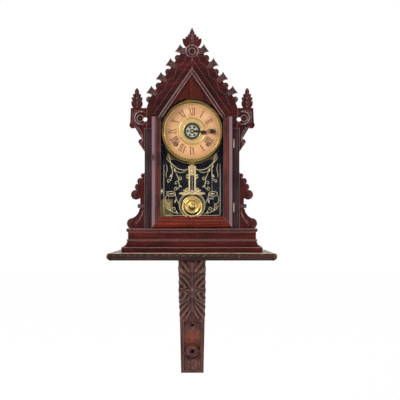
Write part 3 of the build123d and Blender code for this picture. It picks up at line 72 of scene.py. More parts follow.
class Shader:
    """One principled material and short ways to add its nodes."""

    def __init__(self, name):
        self.mat = bpy.data.materials.new(name)
        self.mat.use_nodes = True
        self.tree = self.mat.node_tree
        self.tree.nodes.clear()
        out = self.node("OutputMaterial")
        self.bsdf = self.node("BsdfPrincipled")
        self.feed(out.inputs[0], self.bsdf.outputs[0])
        self.coord = self.node("TexCoord").outputs["Object"]

    def feed(self, socket, value):
        """Let a socket follow an output, or give it a number, a point or a colour."""
        if isinstance(value, bpy.types.NodeSocket):
            self.tree.links.new(value, socket)
        elif socket.type == "RGBA":
            socket.default_value = (*value, 1)
        else:
            socket.default_value = value

    def fill(self, node, **inputs):
        """Feed a node's named inputs, with an underscore for a space."""
        for key, value in inputs.items():
            self.feed(node.inputs[key.replace("_", " ")], value)
        return node

    def node(self, kind, **inputs):
        return self.fill(self.tree.nodes.new("ShaderNode" + kind), **inputs)

    def maths(self, operation, *values, kind="Math"):
        """Maths node with its first inputs fed."""
        made = self.node(kind)
        made.operation = operation
        for socket, value in zip(made.inputs, values):
            self.feed(socket, value)
        return made

    def noise(self, scale, detail, distortion=0, turn=0):
        """Noise with so many waves a metre: one number, or one for each axis."""
        waves = scale if isinstance(scale, tuple) else (scale,) * 3
        place = self.node("Mapping", Vector=self.coord, Rotation=(0, turn, 0), Scale=waves).outputs[0]
        made = self.node("TexNoise", Vector=place, Scale=1, Detail=detail, Distortion=distortion)
        return made.outputs["Fac"]

    def ramp(self, source, *stops):
        made = self.node("ValToRGB")
        ramp = made.color_ramp
        while len(ramp.elements) < len(stops):
            ramp.elements.new(0.5)
        for element, (place, colour) in zip(ramp.elements, stops):
            element.position = place
            element.color = (*colour, 1)
        self.feed(made.inputs[0], source)
        return made.outputs[0]

    def levels(self, source, low, high, to_low, to_high):
        made = self.node("MapRange", From_Min=low, From_Max=high, To_Min=to_low, To_Max=to_high)
        self.feed(made.inputs[0], source)
        return made.outputs[0]

    def mix(self, factor, a, b):
        made = self.node("Mix")
        made.data_type = "RGBA"
        for place, value in ((0, factor), (6, a), (7, b)):
            self.feed(made.inputs[place], value)
        return made.outputs[2]

    def near(self, centre, inner, outer):
        """1 within inner metres of a point, 0 beyond outer."""
        gap = self.maths("DISTANCE", self.coord, centre, kind="VectorMath")
        return self.levels(gap.outputs["Value"], inner, outer, 1, 0)

    def aside(self):
        """Distance to either side of the middle plane, in metres."""
        split = self.node("SeparateXYZ", Vector=self.coord)
        return self.maths("ABSOLUTE", split.outputs["X"]).outputs[0]

    def both(self, a, b):
        return self.maths("MULTIPLY", a, b).outputs[0]

    def bevel(self, radius):
        """Normal that is rounded over sharp edges."""
        edge = self.node("Bevel", Radius=radius)
        edge.samples = 4
        return edge.outputs[0]

    def bump(self, source, strength, distance, rounded=0):
        made = self.node("Bump", Strength=strength, Distance=distance, Height=source)
        if rounded:
            self.fill(made, Normal=self.bevel(rounded))
        self.fill(self.bsdf, Normal=made.outputs[0])

    def recess(self, distance):
        """0 in cracks and hollows, 1 on open faces."""
        made = self.node("AmbientOcclusion", Distance=distance)
        made.samples = 6
        return made.outputs["AO"]

    def edge_mask(self, rounded):
        """1 on sharp edges, 0 on flat faces."""
        flat = self.node("NewGeometry").outputs["Normal"]
        dot = self.maths("DOT_PRODUCT", self.bevel(rounded), flat, kind="VectorMath")
        return self.levels(dot.outputs["Value"], 0.97, 0.75, 0, 1)

    def done(self, **inputs):
        """The material, once its principled inputs are fed."""
        self.fill(self.bsdf, **inputs)
        return self.mat


GRAIN_Z = (260, 260, 11)
GRAIN_X = (11, 260, 260)
GRAIN_Y = (260, 11, 260)
# Colour of the painted shade in the hollows of the walnut
HOLLOW_SHADE_COLOUR = (0.006, 0.0025, 0.0025)
STRIP_FADE = 0.0007
SMUDGE_X, SMUDGE_DROP = 35, 19


def walnut(name, grain, turn=0, deep=(0.015, 0.0036, 0.004), mid=(0.046, 0.0066, 0.0064),
           light=(0.105, 0.015, 0.011), coat=0.08, hollow_shade_reach=0.004, wear_and_highlight=(0.5, 0.3, 0.29),
           strip=None, spot=None, wear_highlight_radius=0.0011):
    """Old stained walnut: fine grain, dark pores, painted shade in the hollows, and edges pale from use with
    a painted highlight.
    """
    s = Shader(name)
    grain_fac = s.noise(grain, 7, 0.7, turn)
    cloud = s.noise(17, 4, 0.6)
    colour = s.ramp(grain_fac, (0.26, deep), (0.5, mid), (0.78, light))
    colour = s.mix(s.levels(cloud, 0.45, 0.66, 0, 0.75), colour, tuple(0.3 * c for c in mid))
    if spot:
        centre, reach, warm = spot
        mask = s.both(s.near(centre, 0.2 * reach, reach), s.levels(grain_fac, 0.2, 0.6, 0.4, 0.9))
        colour = s.mix(mask, colour, warm)
    pores = s.noise(tuple(3.4 * g for g in grain), 3, 0.2, turn)
    colour = s.mix(s.levels(pores, 0.6, 0.72, 0, 0.65), colour, tuple(0.5 * c for c in deep))
    # Painted shade: hollows and creases darken towards a very dark brown
    colour = s.mix(s.levels(s.recess(hollow_shade_reach), 0.4, 0.95, 0.92, 0), colour, HOLLOW_SHADE_COLOUR)
    # Edges pale from use, with a painted highlight: sharp edges turn pale pink
    colour = s.mix(s.levels(s.edge_mask(wear_highlight_radius), 0, 1, 0, 0.7), colour, wear_and_highlight)
    # Painted highlight on the crests of carved lobes, read from a point attribute
    lobe_highlight = s.node("Attribute")
    lobe_highlight.attribute_name = "lobe_highlight"
    colour = s.mix(lobe_highlight.outputs["Fac"], colour, wear_and_highlight)
    # Painted highlight: a mauve band of reflection along the outer strip of the door stiles
    if strip:
        low, high, painted_sheen = strip
        side = s.aside()
        mask = s.both(s.levels(side, low - STRIP_FADE, low, 0, 1),
                      s.levels(side, high, high + STRIP_FADE, 1, 0))
        colour = s.mix(s.both(mask, s.levels(grain_fac, 0.2, 0.8, 0.5, 0.9)), colour, painted_sheen)
    s.bump(pores, 0.22, 0.0004, 0.0007)
    return s.done(Base_Color=colour, Roughness=s.levels(pores, 0.3, 0.8, 0.3, 0.52), Specular_IOR_Level=0.05,
                  Coat_Weight=coat, Coat_Roughness=0.15)


def metal(name, bright, dull, rough, scale, patina, speck=0):
    """Metal with drifting tarnish and fine scratches."""
    s = Shader(name)
    tarnish = s.noise(scale, 5, 0.4)
    colour = s.mix(s.levels(tarnish, 0.42, 0.72, 0, patina), bright, dull)
    if speck:
        dots = s.levels(s.noise(900, 2), 0.62, 0.7, 0, speck)
        colour = s.mix(dots, colour, tuple(0.35 * c for c in dull))
    crevice = s.levels(s.recess(0.0025), 0.3, 0.95, 0.7, 0)
    colour = s.mix(crevice, colour, tuple(0.25 * c for c in dull))
    s.bump(s.noise(1500, 2), 0.08, 0.0002)
    return s.done(Base_Color=colour, Metallic=1, Roughness=s.levels(tarnish, 0.3, 0.8, rough, rough + 0.22))


def dial_paper(name):
    """Aged printed paper: peach tan, darker to the rim, smudged above the winding holes."""
    s = Shader(name)
    fibre = s.noise(420, 5)
    blotch = s.noise(38, 4, 0.5)
    colour = s.ramp(blotch, (0.3, (0.74, 0.385, 0.16)), (0.52, (0.86, 0.475, 0.215)),
                    (0.75, (0.93, 0.56, 0.3)))
    rim = s.near(tuple(at(0, DIAL_FACE, DIAL_HEIGHT)), 0.047, 0.066)
    colour = s.mix(s.levels(rim, 0, 1, 0.6, 0), colour, (0.5, 0.245, 0.095))
    colour = s.mix(s.levels(fibre, 0.55, 0.75, 0, 0.3), colour, (0.52, 0.3, 0.15))
    for side in (-1, 1):
        smudge = s.near(tuple(at(side * SMUDGE_X, DIAL_FACE, DIAL_HEIGHT - SMUDGE_DROP)), 0.002, 0.011)
        colour = s.mix(s.levels(smudge, 0, 1, 0, 0.55), colour, (0.22, 0.17, 0.13))
    s.bump(fibre, 0.12, 0.0002)
    return s.done(Base_Color=colour, Roughness=0.62)


def plain(name, low, high, rough, scale=200, coat=0):
    """Two-tone finish with slight mottling."""
    s = Shader(name)
    mottle = s.noise(scale, 5, 0.2)
    s.bump(mottle, 0.1, 0.0002)
    return s.done(Base_Color=s.ramp(mottle, (0.3, low), (0.7, high)), Coat_Weight=coat,
                  Roughness=s.levels(mottle, 0.3, 0.7, rough, rough + 0.12))


def pane(name):
    """Clear old glass with a slight dark tint and a few seeds."""
    s = Shader(name)
    colour = s.ramp(s.noise(120, 3), (0.3, (0.01, 0.012, 0.022)), (0.8, (0.03, 0.033, 0.052)))
    s.bump(s.noise(22, 1), 0.03, 0.001)
    return s.done(Base_Color=colour, Roughness=0.06, Alpha=0.07, Specular_IOR_Level=0.25)


WALNUT = {
    "upright": walnut("walnut_upright_grain", GRAIN_Z),
    "level": walnut("walnut_level_grain", GRAIN_X),
    "deep": walnut("walnut_deep_grain", GRAIN_Y),
    "front": walnut("walnut_front_stiles", GRAIN_Z, mid=(0.034, 0.018, 0.02), light=(0.09, 0.052, 0.058)),
    # Lighter walnut for the raised carving: painted highlight on the ridges
    "ridge": walnut("walnut_carved_ridges", GRAIN_Z, mid=(0.075, 0.02, 0.02), light=(0.15, 0.042, 0.042),
                    coat=0.2, wear_and_highlight=(0.7, 0.5, 0.5)),
    "base": walnut("walnut_base", GRAIN_X, mid=(0.06, 0.007, 0.0056), light=(0.135, 0.015, 0.008),
                   wear_highlight_radius=0.0018, wear_and_highlight=(0.55, 0.38, 0.36)),
    # Backboard walnut painted far lighter: painted light for the dim inside of the case
    "inside": walnut("walnut_inside", GRAIN_Z, deep=(0.28, 0.04, 0.022), mid=(0.55, 0.085, 0.042),
                     light=(0.7, 0.12, 0.06), coat=0.05, hollow_shade_reach=0.0015),
    # Door stiles, with a painted mauve highlight band on their outer strip
    "strip": walnut("walnut_door_upright", GRAIN_Z, mid=(0.08, 0.016, 0.012), light=(0.19, 0.04, 0.026),
                    coat=0.25, strip=(0.0842, 0.09, (0.25, 0.15, 0.178))),
    # Bottom rail in a lighter, more orange walnut: painted light on the lit rail
    "strip_level": walnut("walnut_door_level", GRAIN_X, deep=(0.05, 0.008, 0.005),
                          mid=(0.125, 0.0115, 0.005), light=(0.29, 0.03, 0.011), coat=0.1),
    "bracket": walnut("walnut_carved_upright", (180, 180, 16), deep=(0.01, 0.0042, 0.004),
                      mid=(0.085, 0.029, 0.024), light=(0.2, 0.055, 0.036), coat=0.3, hollow_shade_reach=0.007,
                      wear_highlight_radius=0.0016, wear_and_highlight=(0.46, 0.27, 0.23),
                      spot=((0, -0.02, 0), 0.03, (0.2, 0.04, 0.018))),
    "shelf": walnut("walnut_shelf", GRAIN_X, deep=(0.01, 0.0042, 0.004), mid=(0.034, 0.0115, 0.0095),
                    light=(0.1, 0.034, 0.022), coat=0.25, wear_highlight_radius=0.002, hollow_shade_reach=0.005,
                    wear_and_highlight=(0.6, 0.44, 0.27)),
}
for side, word in SIDES:
    WALNUT[f"rake_{word}"] = walnut(f"walnut_rake_{word}", GRAIN_X, side * PITCH)
    WALNUT[f"strip_{word}"] = walnut(f"walnut_gable_{word}", GRAIN_X, side * PITCH,
                                     light=(0.18, 0.035, 0.022), coat=0.2)
BRASS = metal("brass_polished", (0.78, 0.53, 0.17), (0.4, 0.25, 0.075), 0.2, 70, 0.45, 0.25)
BEZEL_BRASS = metal("brass_bezel", (0.5, 0.39, 0.12), (0.2, 0.145, 0.045), 0.22, 26, 0.8, 0.2)
LIP_BRASS = metal("brass_lip", (0.95, 0.8, 0.36), (0.62, 0.44, 0.14), 0.22, 60, 0.35)
HINGE_BRASS = metal("brass_hinge", (0.4, 0.36, 0.27), (0.17, 0.14, 0.09), 0.4, 90, 0.7)
RING_BRASS = metal("brass_ring", (0.83, 0.58, 0.24), (0.46, 0.26, 0.075), 0.22, 60, 0.5)
DULL_BRASS = metal("brass_dull", (0.46, 0.36, 0.13), (0.2, 0.14, 0.05), 0.42, 60, 0.7)
DARK_BRASS = metal("brass_dark", (0.1, 0.065, 0.04), (0.03, 0.02, 0.014), 0.4, 120, 0.8)
SILVERED = metal("silvered_disc", (0.62, 0.66, 0.52), (0.36, 0.38, 0.27), 0.3, 80, 0.6)
STEEL = metal("steel_grey", (0.42, 0.42, 0.43), (0.18, 0.17, 0.17), 0.32, 150, 0.6)
BLUED = metal("steel_blued", (0.055, 0.06, 0.09), (0.03, 0.026, 0.03), 0.35, 120, 0.6)
HAND_METAL = metal("steel_hands", (0.06, 0.034, 0.026), (0.028, 0.018, 0.015), 0.34, 140, 0.5)
IRON = plain("iron_japanned", (0.012, 0.011, 0.011), (0.028, 0.024, 0.022), 0.4, 300)
GILT_STAMPING = metal("gilt_stamping", (0.66, 0.5, 0.22), (0.34, 0.24, 0.09), 0.3, 110, 0.6)
GILT_BRIGHT = metal("gilt_bright", (0.93, 0.76, 0.46), (0.66, 0.45, 0.22), 0.28, 110, 0.4)
GILT_PAINT = plain("gilt_line", (0.5, 0.4, 0.19), (0.72, 0.62, 0.38), 0.5, 320)
# Light walnut and gold lines: painted highlights along arrises, rings and rail edges
LINE_HIGHLIGHT = plain("walnut_painted_highlight_line", (0.15, 0.085, 0.08), (0.36, 0.23, 0.22), 0.25, 300, 0.8)
SHELF_HIGHLIGHT = plain("shelf_painted_highlight_gold", (0.3, 0.19, 0.09), (0.6, 0.44, 0.24), 0.3, 90, 0.6)
HOLE_DARK = plain("hole_shade", (0.006, 0.004, 0.004), (0.01, 0.007, 0.006), 0.9)
INK = plain("printed_numerals", (0.17, 0.05, 0.032), (0.3, 0.1, 0.065), 0.6, 500)
# Very dark finish of the painted shade round the alarm disc
GAP_SHADE = plain("dial_gap_shade_finish", (0.008, 0.007, 0.006), (0.018, 0.015, 0.012), 0.5, 300)
LINING = plain("dark_lining", (0.006, 0.007, 0.014), (0.014, 0.015, 0.028), 0.8, 60)
PAPER = dial_paper("dial_paper_aged")
GLASS = pane("old_glass")

# Finish of each node of the frame
FINISHES = (
    (WALNUT["shelf"], "bracket_shelf"), (WALNUT["bracket"], "bracket_corbel"), (WALNUT["base"], "base_front"),
    (WALNUT["level"], "case_floor"), (WALNUT["inside"], "backboard"),
    (WALNUT["deep"], "base_side_left base_side_right roof_board_left roof_board_right dial_blocks"),
    (WALNUT["upright"], "side_board_left side_board_right top_finial ear_left ear_right turned_bosses "
                        "side_scroll_left side_scroll_right glass_beads"),
    (WALNUT["front"], "front_stile_left front_stile_right"), (WALNUT["rake_left"], "crest_left"),
    (WALNUT["rake_right"], "crest_right"), (WALNUT["strip"], "door_stile_left door_stile_right"),
    (WALNUT["strip_level"], "door_bottom_rail"), (WALNUT["strip_left"], "door_gable_left"),
    (WALNUT["strip_right"], "door_gable_right"), (GLASS, "door_glass"), (DARK_BRASS, "door_latch"),
    (HINGE_BRASS, "hinge_case_leaves hinge_door_leaves"), (PAPER, "dial_pan"), (BEZEL_BRASS, "dial_bezel"),
    (RING_BRASS, "dial_rings"), (SILVERED, "alarm_disc alarm_bell"), (HAND_METAL, "hour_hand minute_hand"),
    (BRASS, "hand_nut dial_screws escape_wheel pendulum_bob"),
    (DULL_BRASS, "plate_back plate_front alarm_movement"),
    (STEEL, "bracket_screws latch_keeper movement_screws strike_spring_arbor time_spring_arbor centre_arbor "
            "verge suspension_spring pendulum_rod strike_hammer alarm_hammer"),
    (GILT_STAMPING, "pendulum_ornament"), (BLUED, "gong_coil"), (IRON, "gong_base"),
)
for finish, nodes in FINISHES:
    for node in nodes.split():
        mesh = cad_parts[node].data
        if not mesh.materials:
            mesh.materials.append(finish)
        for i in range(len(mesh.materials)):
            mesh.materials[i] = finish


# Meshes

DOME_SUNK, DOME_TIP = 0.4, 0.12


class Mesher:
    """Collects closed surfaces and makes one object of them."""

    def __init__(self):
        self.points = []
        self.faces = []

    def loft(self, rings, cap=True):
        """Skin over closed rings of equal count."""
        first = len(self.points)
        count = len(rings[0])
        for ring in rings:
            self.points += ring
        for i in range(len(rings) - 1):
            for j in range(count):
                a, b = first + i * count + j, first + i * count + (j + 1) % count
                self.faces.append((a, b, b + count, a + count))
        if cap:
            self.faces.append(tuple(first + j for j in reversed(range(count))))
            last = first + (len(rings) - 1) * count
            self.faces.append(tuple(last + j for j in range(count)))

    def tube(self, path, radius, sides=6, squash=1, taper=0.35):
        """Round bar along points in metres, thinner to its ends and flattened along the depth."""
        rings = []
        total = len(path) - 1
        for i, point in enumerate(path):
            way = (path[min(i + 1, total)] - path[max(i - 1, 0)]).normalized()
            across = way.cross(Vector((0, 1, 0)))
            if across.length < 0.01:
                across = Vector((1, 0, 0))
            across.normalize()
            up = across.cross(way).normalized()
            swell = taper + (1 - taper) * min(1, 4 * min(i, total - i) / total)
            r = radius * MM * swell
            turns = [tau * k / sides for k in range(sides)]
            rings.append([point + across * r * cos(t) + up * squash * r * sin(t) for t in turns])
        self.loft(rings)

    def pair(self, points, depth, *bar, curved=True):
        """Bar along points of x and height on a front face, and its mirror image."""
        for side in (-1, 1):
            path = mirrored(points, side)
            self.tube(on_face(path, depth) if curved else flat(path, depth), *bar)

    def lathe(self, section, x, height, segments=96):
        """Turned ring about a line along Y: section is a closed list of radius and depth."""
        first, count = len(self.points), len(section)
        for i in range(segments):
            turn = tau * i / segments
            self.points += [at(x + r * cos(turn), depth, height + r * sin(turn)) for r, depth in section]
            a, b = first + i * count, first + (i + 1) % segments * count
            for j in range(count):
                k = (j + 1) % count
                self.faces.append((a + j, a + k, b + k, b + j))

    def flat_ring(self, inner, outer, back, front, segments=96, height=DIAL_HEIGHT):
        """Flat ring about the middle line, between two radii and two depths."""
        self.lathe([(inner, back), (inner, front), (outer, front), (outer, back)], 0, height, segments)

    def slab(self, front, back):
        """Closed sheet between two grids of points of the same size."""
        rows, cols = len(front), len(front[0])
        first = len(self.points)
        for grid in (front, back):
            for row in grid:
                self.points += row
        half = rows * cols

        def spot(side, i, j):
            return first + side * half + i * cols + j

        for i in range(rows - 1):
            for j in range(cols - 1):
                a, b, c, d = (i, j), (i, j + 1), (i + 1, j + 1), (i + 1, j)
                self.faces.append((spot(0, *a), spot(0, *b), spot(0, *c), spot(0, *d)))
                self.faces.append((spot(1, *a), spot(1, *d), spot(1, *c), spot(1, *b)))
        for j in range(cols - 1):
            a, b, c, d = (0, j), (0, j + 1), (rows - 1, j), (rows - 1, j + 1)
            self.faces.append((spot(0, *a), spot(1, *a), spot(1, *b), spot(0, *b)))
            self.faces.append((spot(0, *c), spot(0, *d), spot(1, *d), spot(1, *c)))
        for i in range(rows - 1):
            a, b, c, d = (i, 0), (i + 1, 0), (i, cols - 1), (i + 1, cols - 1)
            self.faces.append((spot(0, *a), spot(0, *b), spot(1, *b), spot(1, *a)))
            self.faces.append((spot(0, *c), spot(1, *c), spot(1, *d), spot(0, *d)))

    def prism(self, outline, back, front):
        """Flat shape of x and height, between two depths."""
        self.loft([flat(outline, back), flat(outline, front)])

    def dome(self, x, depth, height, radius, rise, sides=8, rings=3):
        """Low round bump on a front face."""
        tilts = [pi / 2 * i / rings for i in range(rings)]
        stack = [(radius, depth - DOME_SUNK)] + [(radius * cos(t), depth + rise * sin(t)) for t in tilts]
        stack.append((radius * DOME_TIP, depth + rise))
        turns = [tau * k / sides for k in range(sides)]
        self.loft([[at(x + r * cos(t), d, height + r * sin(t)) for t in turns] for r, d in stack])

    def make(self, name, material, body="case", slot="walnut_case", smooth=True, replaces=()):
        mesh = bpy.data.meshes.new(name)
        mesh.from_pydata([tuple(p) for p in self.points], [], self.faces)
        mesh.validate()
        mesh.materials.append(material)
        mesh.polygons.foreach_set("use_smooth", [smooth] * len(mesh.polygons))
        obj = bpy.data.objects.new(name, mesh)
        bpy.context.scene.collection.objects.link(obj)
        bpy.context.view_layer.objects.active = obj
        obj.select_set(True)
        bpy.ops.object.mode_set(mode="EDIT")
        bpy.ops.mesh.select_all(action="SELECT")
        bpy.ops.mesh.normals_make_consistent(inside=False)
        bpy.ops.object.mode_set(mode="OBJECT")
        if smooth:
            bpy.ops.object.shade_smooth_by_angle(angle=radians(50))
        obj.select_set(False)
        if body:
            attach(obj, body)
        if replaces:
            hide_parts(*replaces)
        return obj


def smooth_path(points, steps=6):
    """Points of a soft curve through the given ones."""
    ends = [points[0], *points, points[-1]]
    path = []
    for i in range(1, len(ends) - 2):
        p0, p1, p2, p3 = (Vector(p) for p in ends[i - 1:i + 3])
        for k in range(steps):
            t = k / steps
            path.append(0.5 * (2 * p1 + (p2 - p0) * t + (2 * p0 - 5 * p1 + 4 * p2 - p3) * t * t
                               + (3 * p1 - p0 - 3 * p2 + p3) * t ** 3))
    path.append(Vector(points[-1]))
    return path


def on_face(points, depth):
    """Curved path on a front face through points of x and height."""
    return [at(p[0], depth, p[1]) for p in smooth_path(points)]


def flat(points, depth):
    """Path straight from point to point of x and height."""
    return [at(x, depth, h) for x, h in points]


def even(start, end, steps):
    """Numbers in equal steps, both ends with them."""
    return [start + (end - start) * i / steps for i in range(steps + 1)]


def arc(x, height, radius, start, end, steps=14):
    """Points of x and height on an arc, angles in degrees from +x."""
    turns = [radians(t) for t in even(start, end, steps)]
    return [(x + radius * cos(t), height + radius * sin(t)) for t in turns]


# Turned metal of the dial and the bob

BEZEL = [(63.5, 71), (63.5, 72.8), (64.1, 73.9), (65.1, 74.2), (65.9, 73.7), (66.1, 75), (66.7, 78.6),
         (67.6, 81.6), (68.8, 82.9), (70.2, 82.6), (71.8, 80.4), (73.1, 77.2), (73.7, 74.6), (74.4, 74.4),
         (75.1, 73.6), (75.4, 72.2), (75.4, 71)]
RING = [(18.8, 71), (18.8, 72.6), (19.4, 73.2), (20.3, 73.2), (20.9, 72.5), (21.3, 71.7), (22.8, 71.5),
        (25.6, 72.1), (28.2, 71.8), (28.9, 72.7), (29.9, 73.2), (31, 72.8), (31.8, 71.8), (32, 71)]
WIND_RING = [(4.7, 71), (4.7, 71.7), (5.2, 72), (5.8, 71.7), (6, 71)]
WIND_X = 37
WIND_HEIGHT = DIAL_HEIGHT - 29.5
BOB_HEIGHT = 103
BOB = [(0.6, 59), (12, 59.4), (20, 60.2), (23.4, 61.4), (24.4, 63), (24.4, 64.2), (23.9, 65.2), (22.9, 65.5),
       (22, 65), (21.2, 64.7), (19.8, 64.9), (18.4, 66.2), (17, 67.2), (15.6, 67.5), (14, 67.1), (13, 66),
       (12.2, 65.6), (10.4, 65.9), (8.6, 66.4), (7.4, 66.6), (6.6, 67.6), (5.4, 68.9), (3.6, 69.7), (1.6, 70),
       (0.6, 70)]


LIP = [(62.6, 71.05), (62.6, 71.9), (63, 72.6), (63.7, 73.2), (64.6, 73.4), (64.9, 72), (64.6, 71.05)]
BOSS = [(0.2, 95), (6.4, 95), (6.4, 96.3), (6, 97.3), (5, 98.2), (3.6, 98.8), (1.8, 99), (0.2, 99)]
BOSSES = ((0, 454.2), (-117.6, 302.5), (117.6, 302.5))


def turned_metal():
    for name, turnings, finish, body, replaced in (
            ("dial_bezel_turned", [(BEZEL, 0, DIAL_HEIGHT, 128)], BEZEL_BRASS, "case", ("dial_bezel",)),
            ("dial_bezel_lip", [(LIP, 0, DIAL_HEIGHT, 128)], LIP_BRASS, "case", ()),
            ("dial_rings_turned", [(RING, 0, DIAL_HEIGHT), (WIND_RING, -WIND_X, WIND_HEIGHT, 40),
                                   (WIND_RING, WIND_X, WIND_HEIGHT, 40)],
             RING_BRASS, "case", ("dial_rings",)),
            ("pendulum_bob_turned", [(BOB, 0, BOB_HEIGHT)], BRASS, "pendulum", ("pendulum_bob",))):
        metalwork = Mesher()
        for turning in turnings:
            metalwork.lathe(*turning)
        metalwork.make(name, finish, body, "brass", replaces=replaced)


def wood_bosses():
    bosses = Mesher()
    for x, height in BOSSES:
        bosses.lathe(BOSS, x, height, 36)
    bosses.make("turned_bosses_smooth", WALNUT["upright"], replaces=("turned_bosses",))


# Dial printing

NUMERALS = "XII I II III IIII V VI VII VIII IX X XI".split()
NUMERAL_HIGH = 16.4
NUMERAL_MIDDLE = 45
NUMERAL_SQUEEZE = 0.6
LETTER_WIDE = {"I": 0.4, "V": 0.74, "X": 0.74}
PRINT_BACK, PRINT_FRONT, RING_FRONT = DIAL_FACE - 0.02, DIAL_FACE + 0.12, DIAL_FACE + 0.1
TRACK_INNER, TRACK_OUTER = 58.4, 61.8
THICK, THIN, SERIF = 0.105, 0.032, 0.035


def letter_strokes(letter):
    """Slanted bars and serifs of one letter: from, to and half width, height 1."""
    if letter == "I":
        return [((0, 0), (0, 1), THICK), ((-0.17, 0), (0.17, 0), SERIF), ((-0.17, 1), (0.17, 1), SERIF)]
    top = [((-0.42, 1), (-0.12, 1), SERIF), ((0.14, 1), (0.4, 1), SERIF)]
    if letter == "V":
        return [((-0.27, 1), (0, 0), THICK), ((0.27, 1), (0.03, 0), THIN)] + top
    foot = [((-0.4, 0), (-0.14, 0), SERIF), ((0.12, 0), (0.42, 0), SERIF)]
    return [((-0.27, 1), (0.27, 0), THICK), ((0.27, 1), (-0.27, 0), THIN)] + top + foot


def on_dial(turn, across, out):
    """x and height of a point of the dial: across and outwards, turned clockwise from the top."""
    return (across * cos(turn) + out * sin(turn), DIAL_HEIGHT + out * cos(turn) - across * sin(turn))


def bar(ink, start, end, half, middle, turn):
    """One printed stroke of the letter at this middle of a numeral."""
    (x0, y0), (x1, y1) = start, end
    if abs(y1 - y0) < 0.01:
        corners = [(x0, y0 - half), (x1, y0 - half), (x1, y0 + half), (x0, y0 + half)]
    else:
        corners = [(x0 - half, y0), (x0 + half, y0), (x1 + half, y1), (x1 - half, y1)]
    outline = [on_dial(turn, (middle + x) * NUMERAL_HIGH * NUMERAL_SQUEEZE,
                       NUMERAL_MIDDLE + (y - 0.5) * NUMERAL_HIGH) for x, y in corners]
    ink.prism(outline, PRINT_BACK, PRINT_FRONT)


def dial_printing():
    ink = Mesher()
    for hour, word in enumerate(NUMERALS):
        start = -sum(LETTER_WIDE[c] for c in word) / 2
        for letter in word:
            middle = start + LETTER_WIDE[letter] / 2
            start += LETTER_WIDE[letter]
            for a, b, half in letter_strokes(letter):
                bar(ink, a, b, half, middle, radians(30 * hour))
    for minute in range(60):
        turn = radians(6 * minute)
        wide = 0.55 if minute % 5 == 0 else 0.22
        corners = ((-wide, TRACK_INNER), (wide, TRACK_INNER), (wide, TRACK_OUTER), (-wide, TRACK_OUTER))
        ink.prism([on_dial(turn, *corner) for corner in corners], PRINT_BACK, PRINT_FRONT)
    for radius in (58.2, 61.6, 35):
        ink.flat_ring(radius, radius + 0.25, PRINT_BACK, RING_FRONT)
    ink.make("dial_printing", INK, slot="dial_paper", smooth=False)
    # Painted shade: very dark rings on the dial and on the rim of the alarm disc, for the shaded gap round
    # the disc
    gap_shade = Mesher()
    gap_shade.flat_ring(15.9, 18.8, PRINT_BACK, PRINT_FRONT, 64)
    gap_shade.make("dial_gap_shade_ring", GAP_SHADE, slot="dial_paper", smooth=False)
    edge = Mesher()
    front = -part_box("alarm_disc")[0][1] / MM
    edge.flat_ring(13.9, 16.25, front - 0.02, front + 0.08, 64)
    edge.make("alarm_disc_gap_shade", GAP_SHADE, "alarm_setting", "silvered_metal", smooth=False)


# Carving on the crest, the ears and the scrolls

BAND, TAB_OUT, TAB_PITCH = 39.7, 13, 38.1
TABS, CREST_LINE_FOOT = 4, 290
LOBE_R = 7
SCROLL_LOBES = ((110.5, 172.5, 5.5), (116.5, 160, 7.6), (121.5, 147, 7.9), (126.8, 129.5, 11.2),
                (135, 64.5, 12.2))

def mirrored(points, side):
    return [(side * x, h) for x, h in points]


def crest_carving():
    lift = 90 - PITCH_DEG
    for side, word in SIDES:
        carving, lines, flutes = Mesher(), Mesher(), Mesher()
        for i in range(TABS):
            middle = (i - 0.5) * TAB_PITCH
            for k in (-1.5, -0.5, 0.5, 1.5):
                run = [on_rake(middle + k * spread, out) for spread, out in
                       ((2.2, BAND - 9), (3, BAND), (4.2, BAND + TAB_OUT - 4), (5, BAND + TAB_OUT - 0.8))]
                flutes.tube(on_face(mirrored(run, side), FACE), 0.75, 6, 1.3, 0.4)
            x, height = on_rake(i * TAB_PITCH, BAND - 0.6)
            for radius, thick in ((LOBE_R - 1.4, 1.4), (LOBE_R - 4.2, 1.2)):
                run = mirrored(arc(x, height, radius, lift - 115, lift + 115), side)
                carving.tube(flat(run, FACE - 0.2), thick, 8, 0.9, 0.4)
            carving.dome(side * x, FACE - 0.1, height, 1.6, 1)
        wave = [on_rake(along, BAND - 14.5 - 2.6 * cos(tau * along / TAB_PITCH))
                for along in even(-22, 118, 150)]
        lines.tube(flat(mirrored(wave, side), FACE - 0.15), 1.1, 6, 0.9, 0.6)
        edge = [on_rake(along, BAND - 28) for along in even(-30, 135, 40)]
        edge = [(x, h) for x, h in edge if h > CREST_LINE_FOOT]
        lines.tube(flat(mirrored(edge, side), FACE - 0.15), 0.8, 6, 0.8, 0.6)
        carving.make(f"crest_carving_{word}", WALNUT["ridge"])
        lines.make(f"crest_lines_{word}", WALNUT[f"rake_{word}"])
        flutes.make(f"crest_flutes_{word}", WALNUT["ridge"])


TOP_LEAVES = ((21.2, 483.1), (14.2, 487.2), (9.3, 492.2), (5.2, 496.7))
EAR_LEAVES = ((12.1, 341.1), (12.1, 349.8), (8.3, 357.5))
EAR_AXIS = 124.6
# Rings of the dishes: middle, radius, and where the arc starts and ends
DISH_ARCS = ((0, 454.2, 14, -60, 240), (115.1, 303.4, 14.4, -110, 110), (-115.1, 303.4, 14.4, 70, 290))


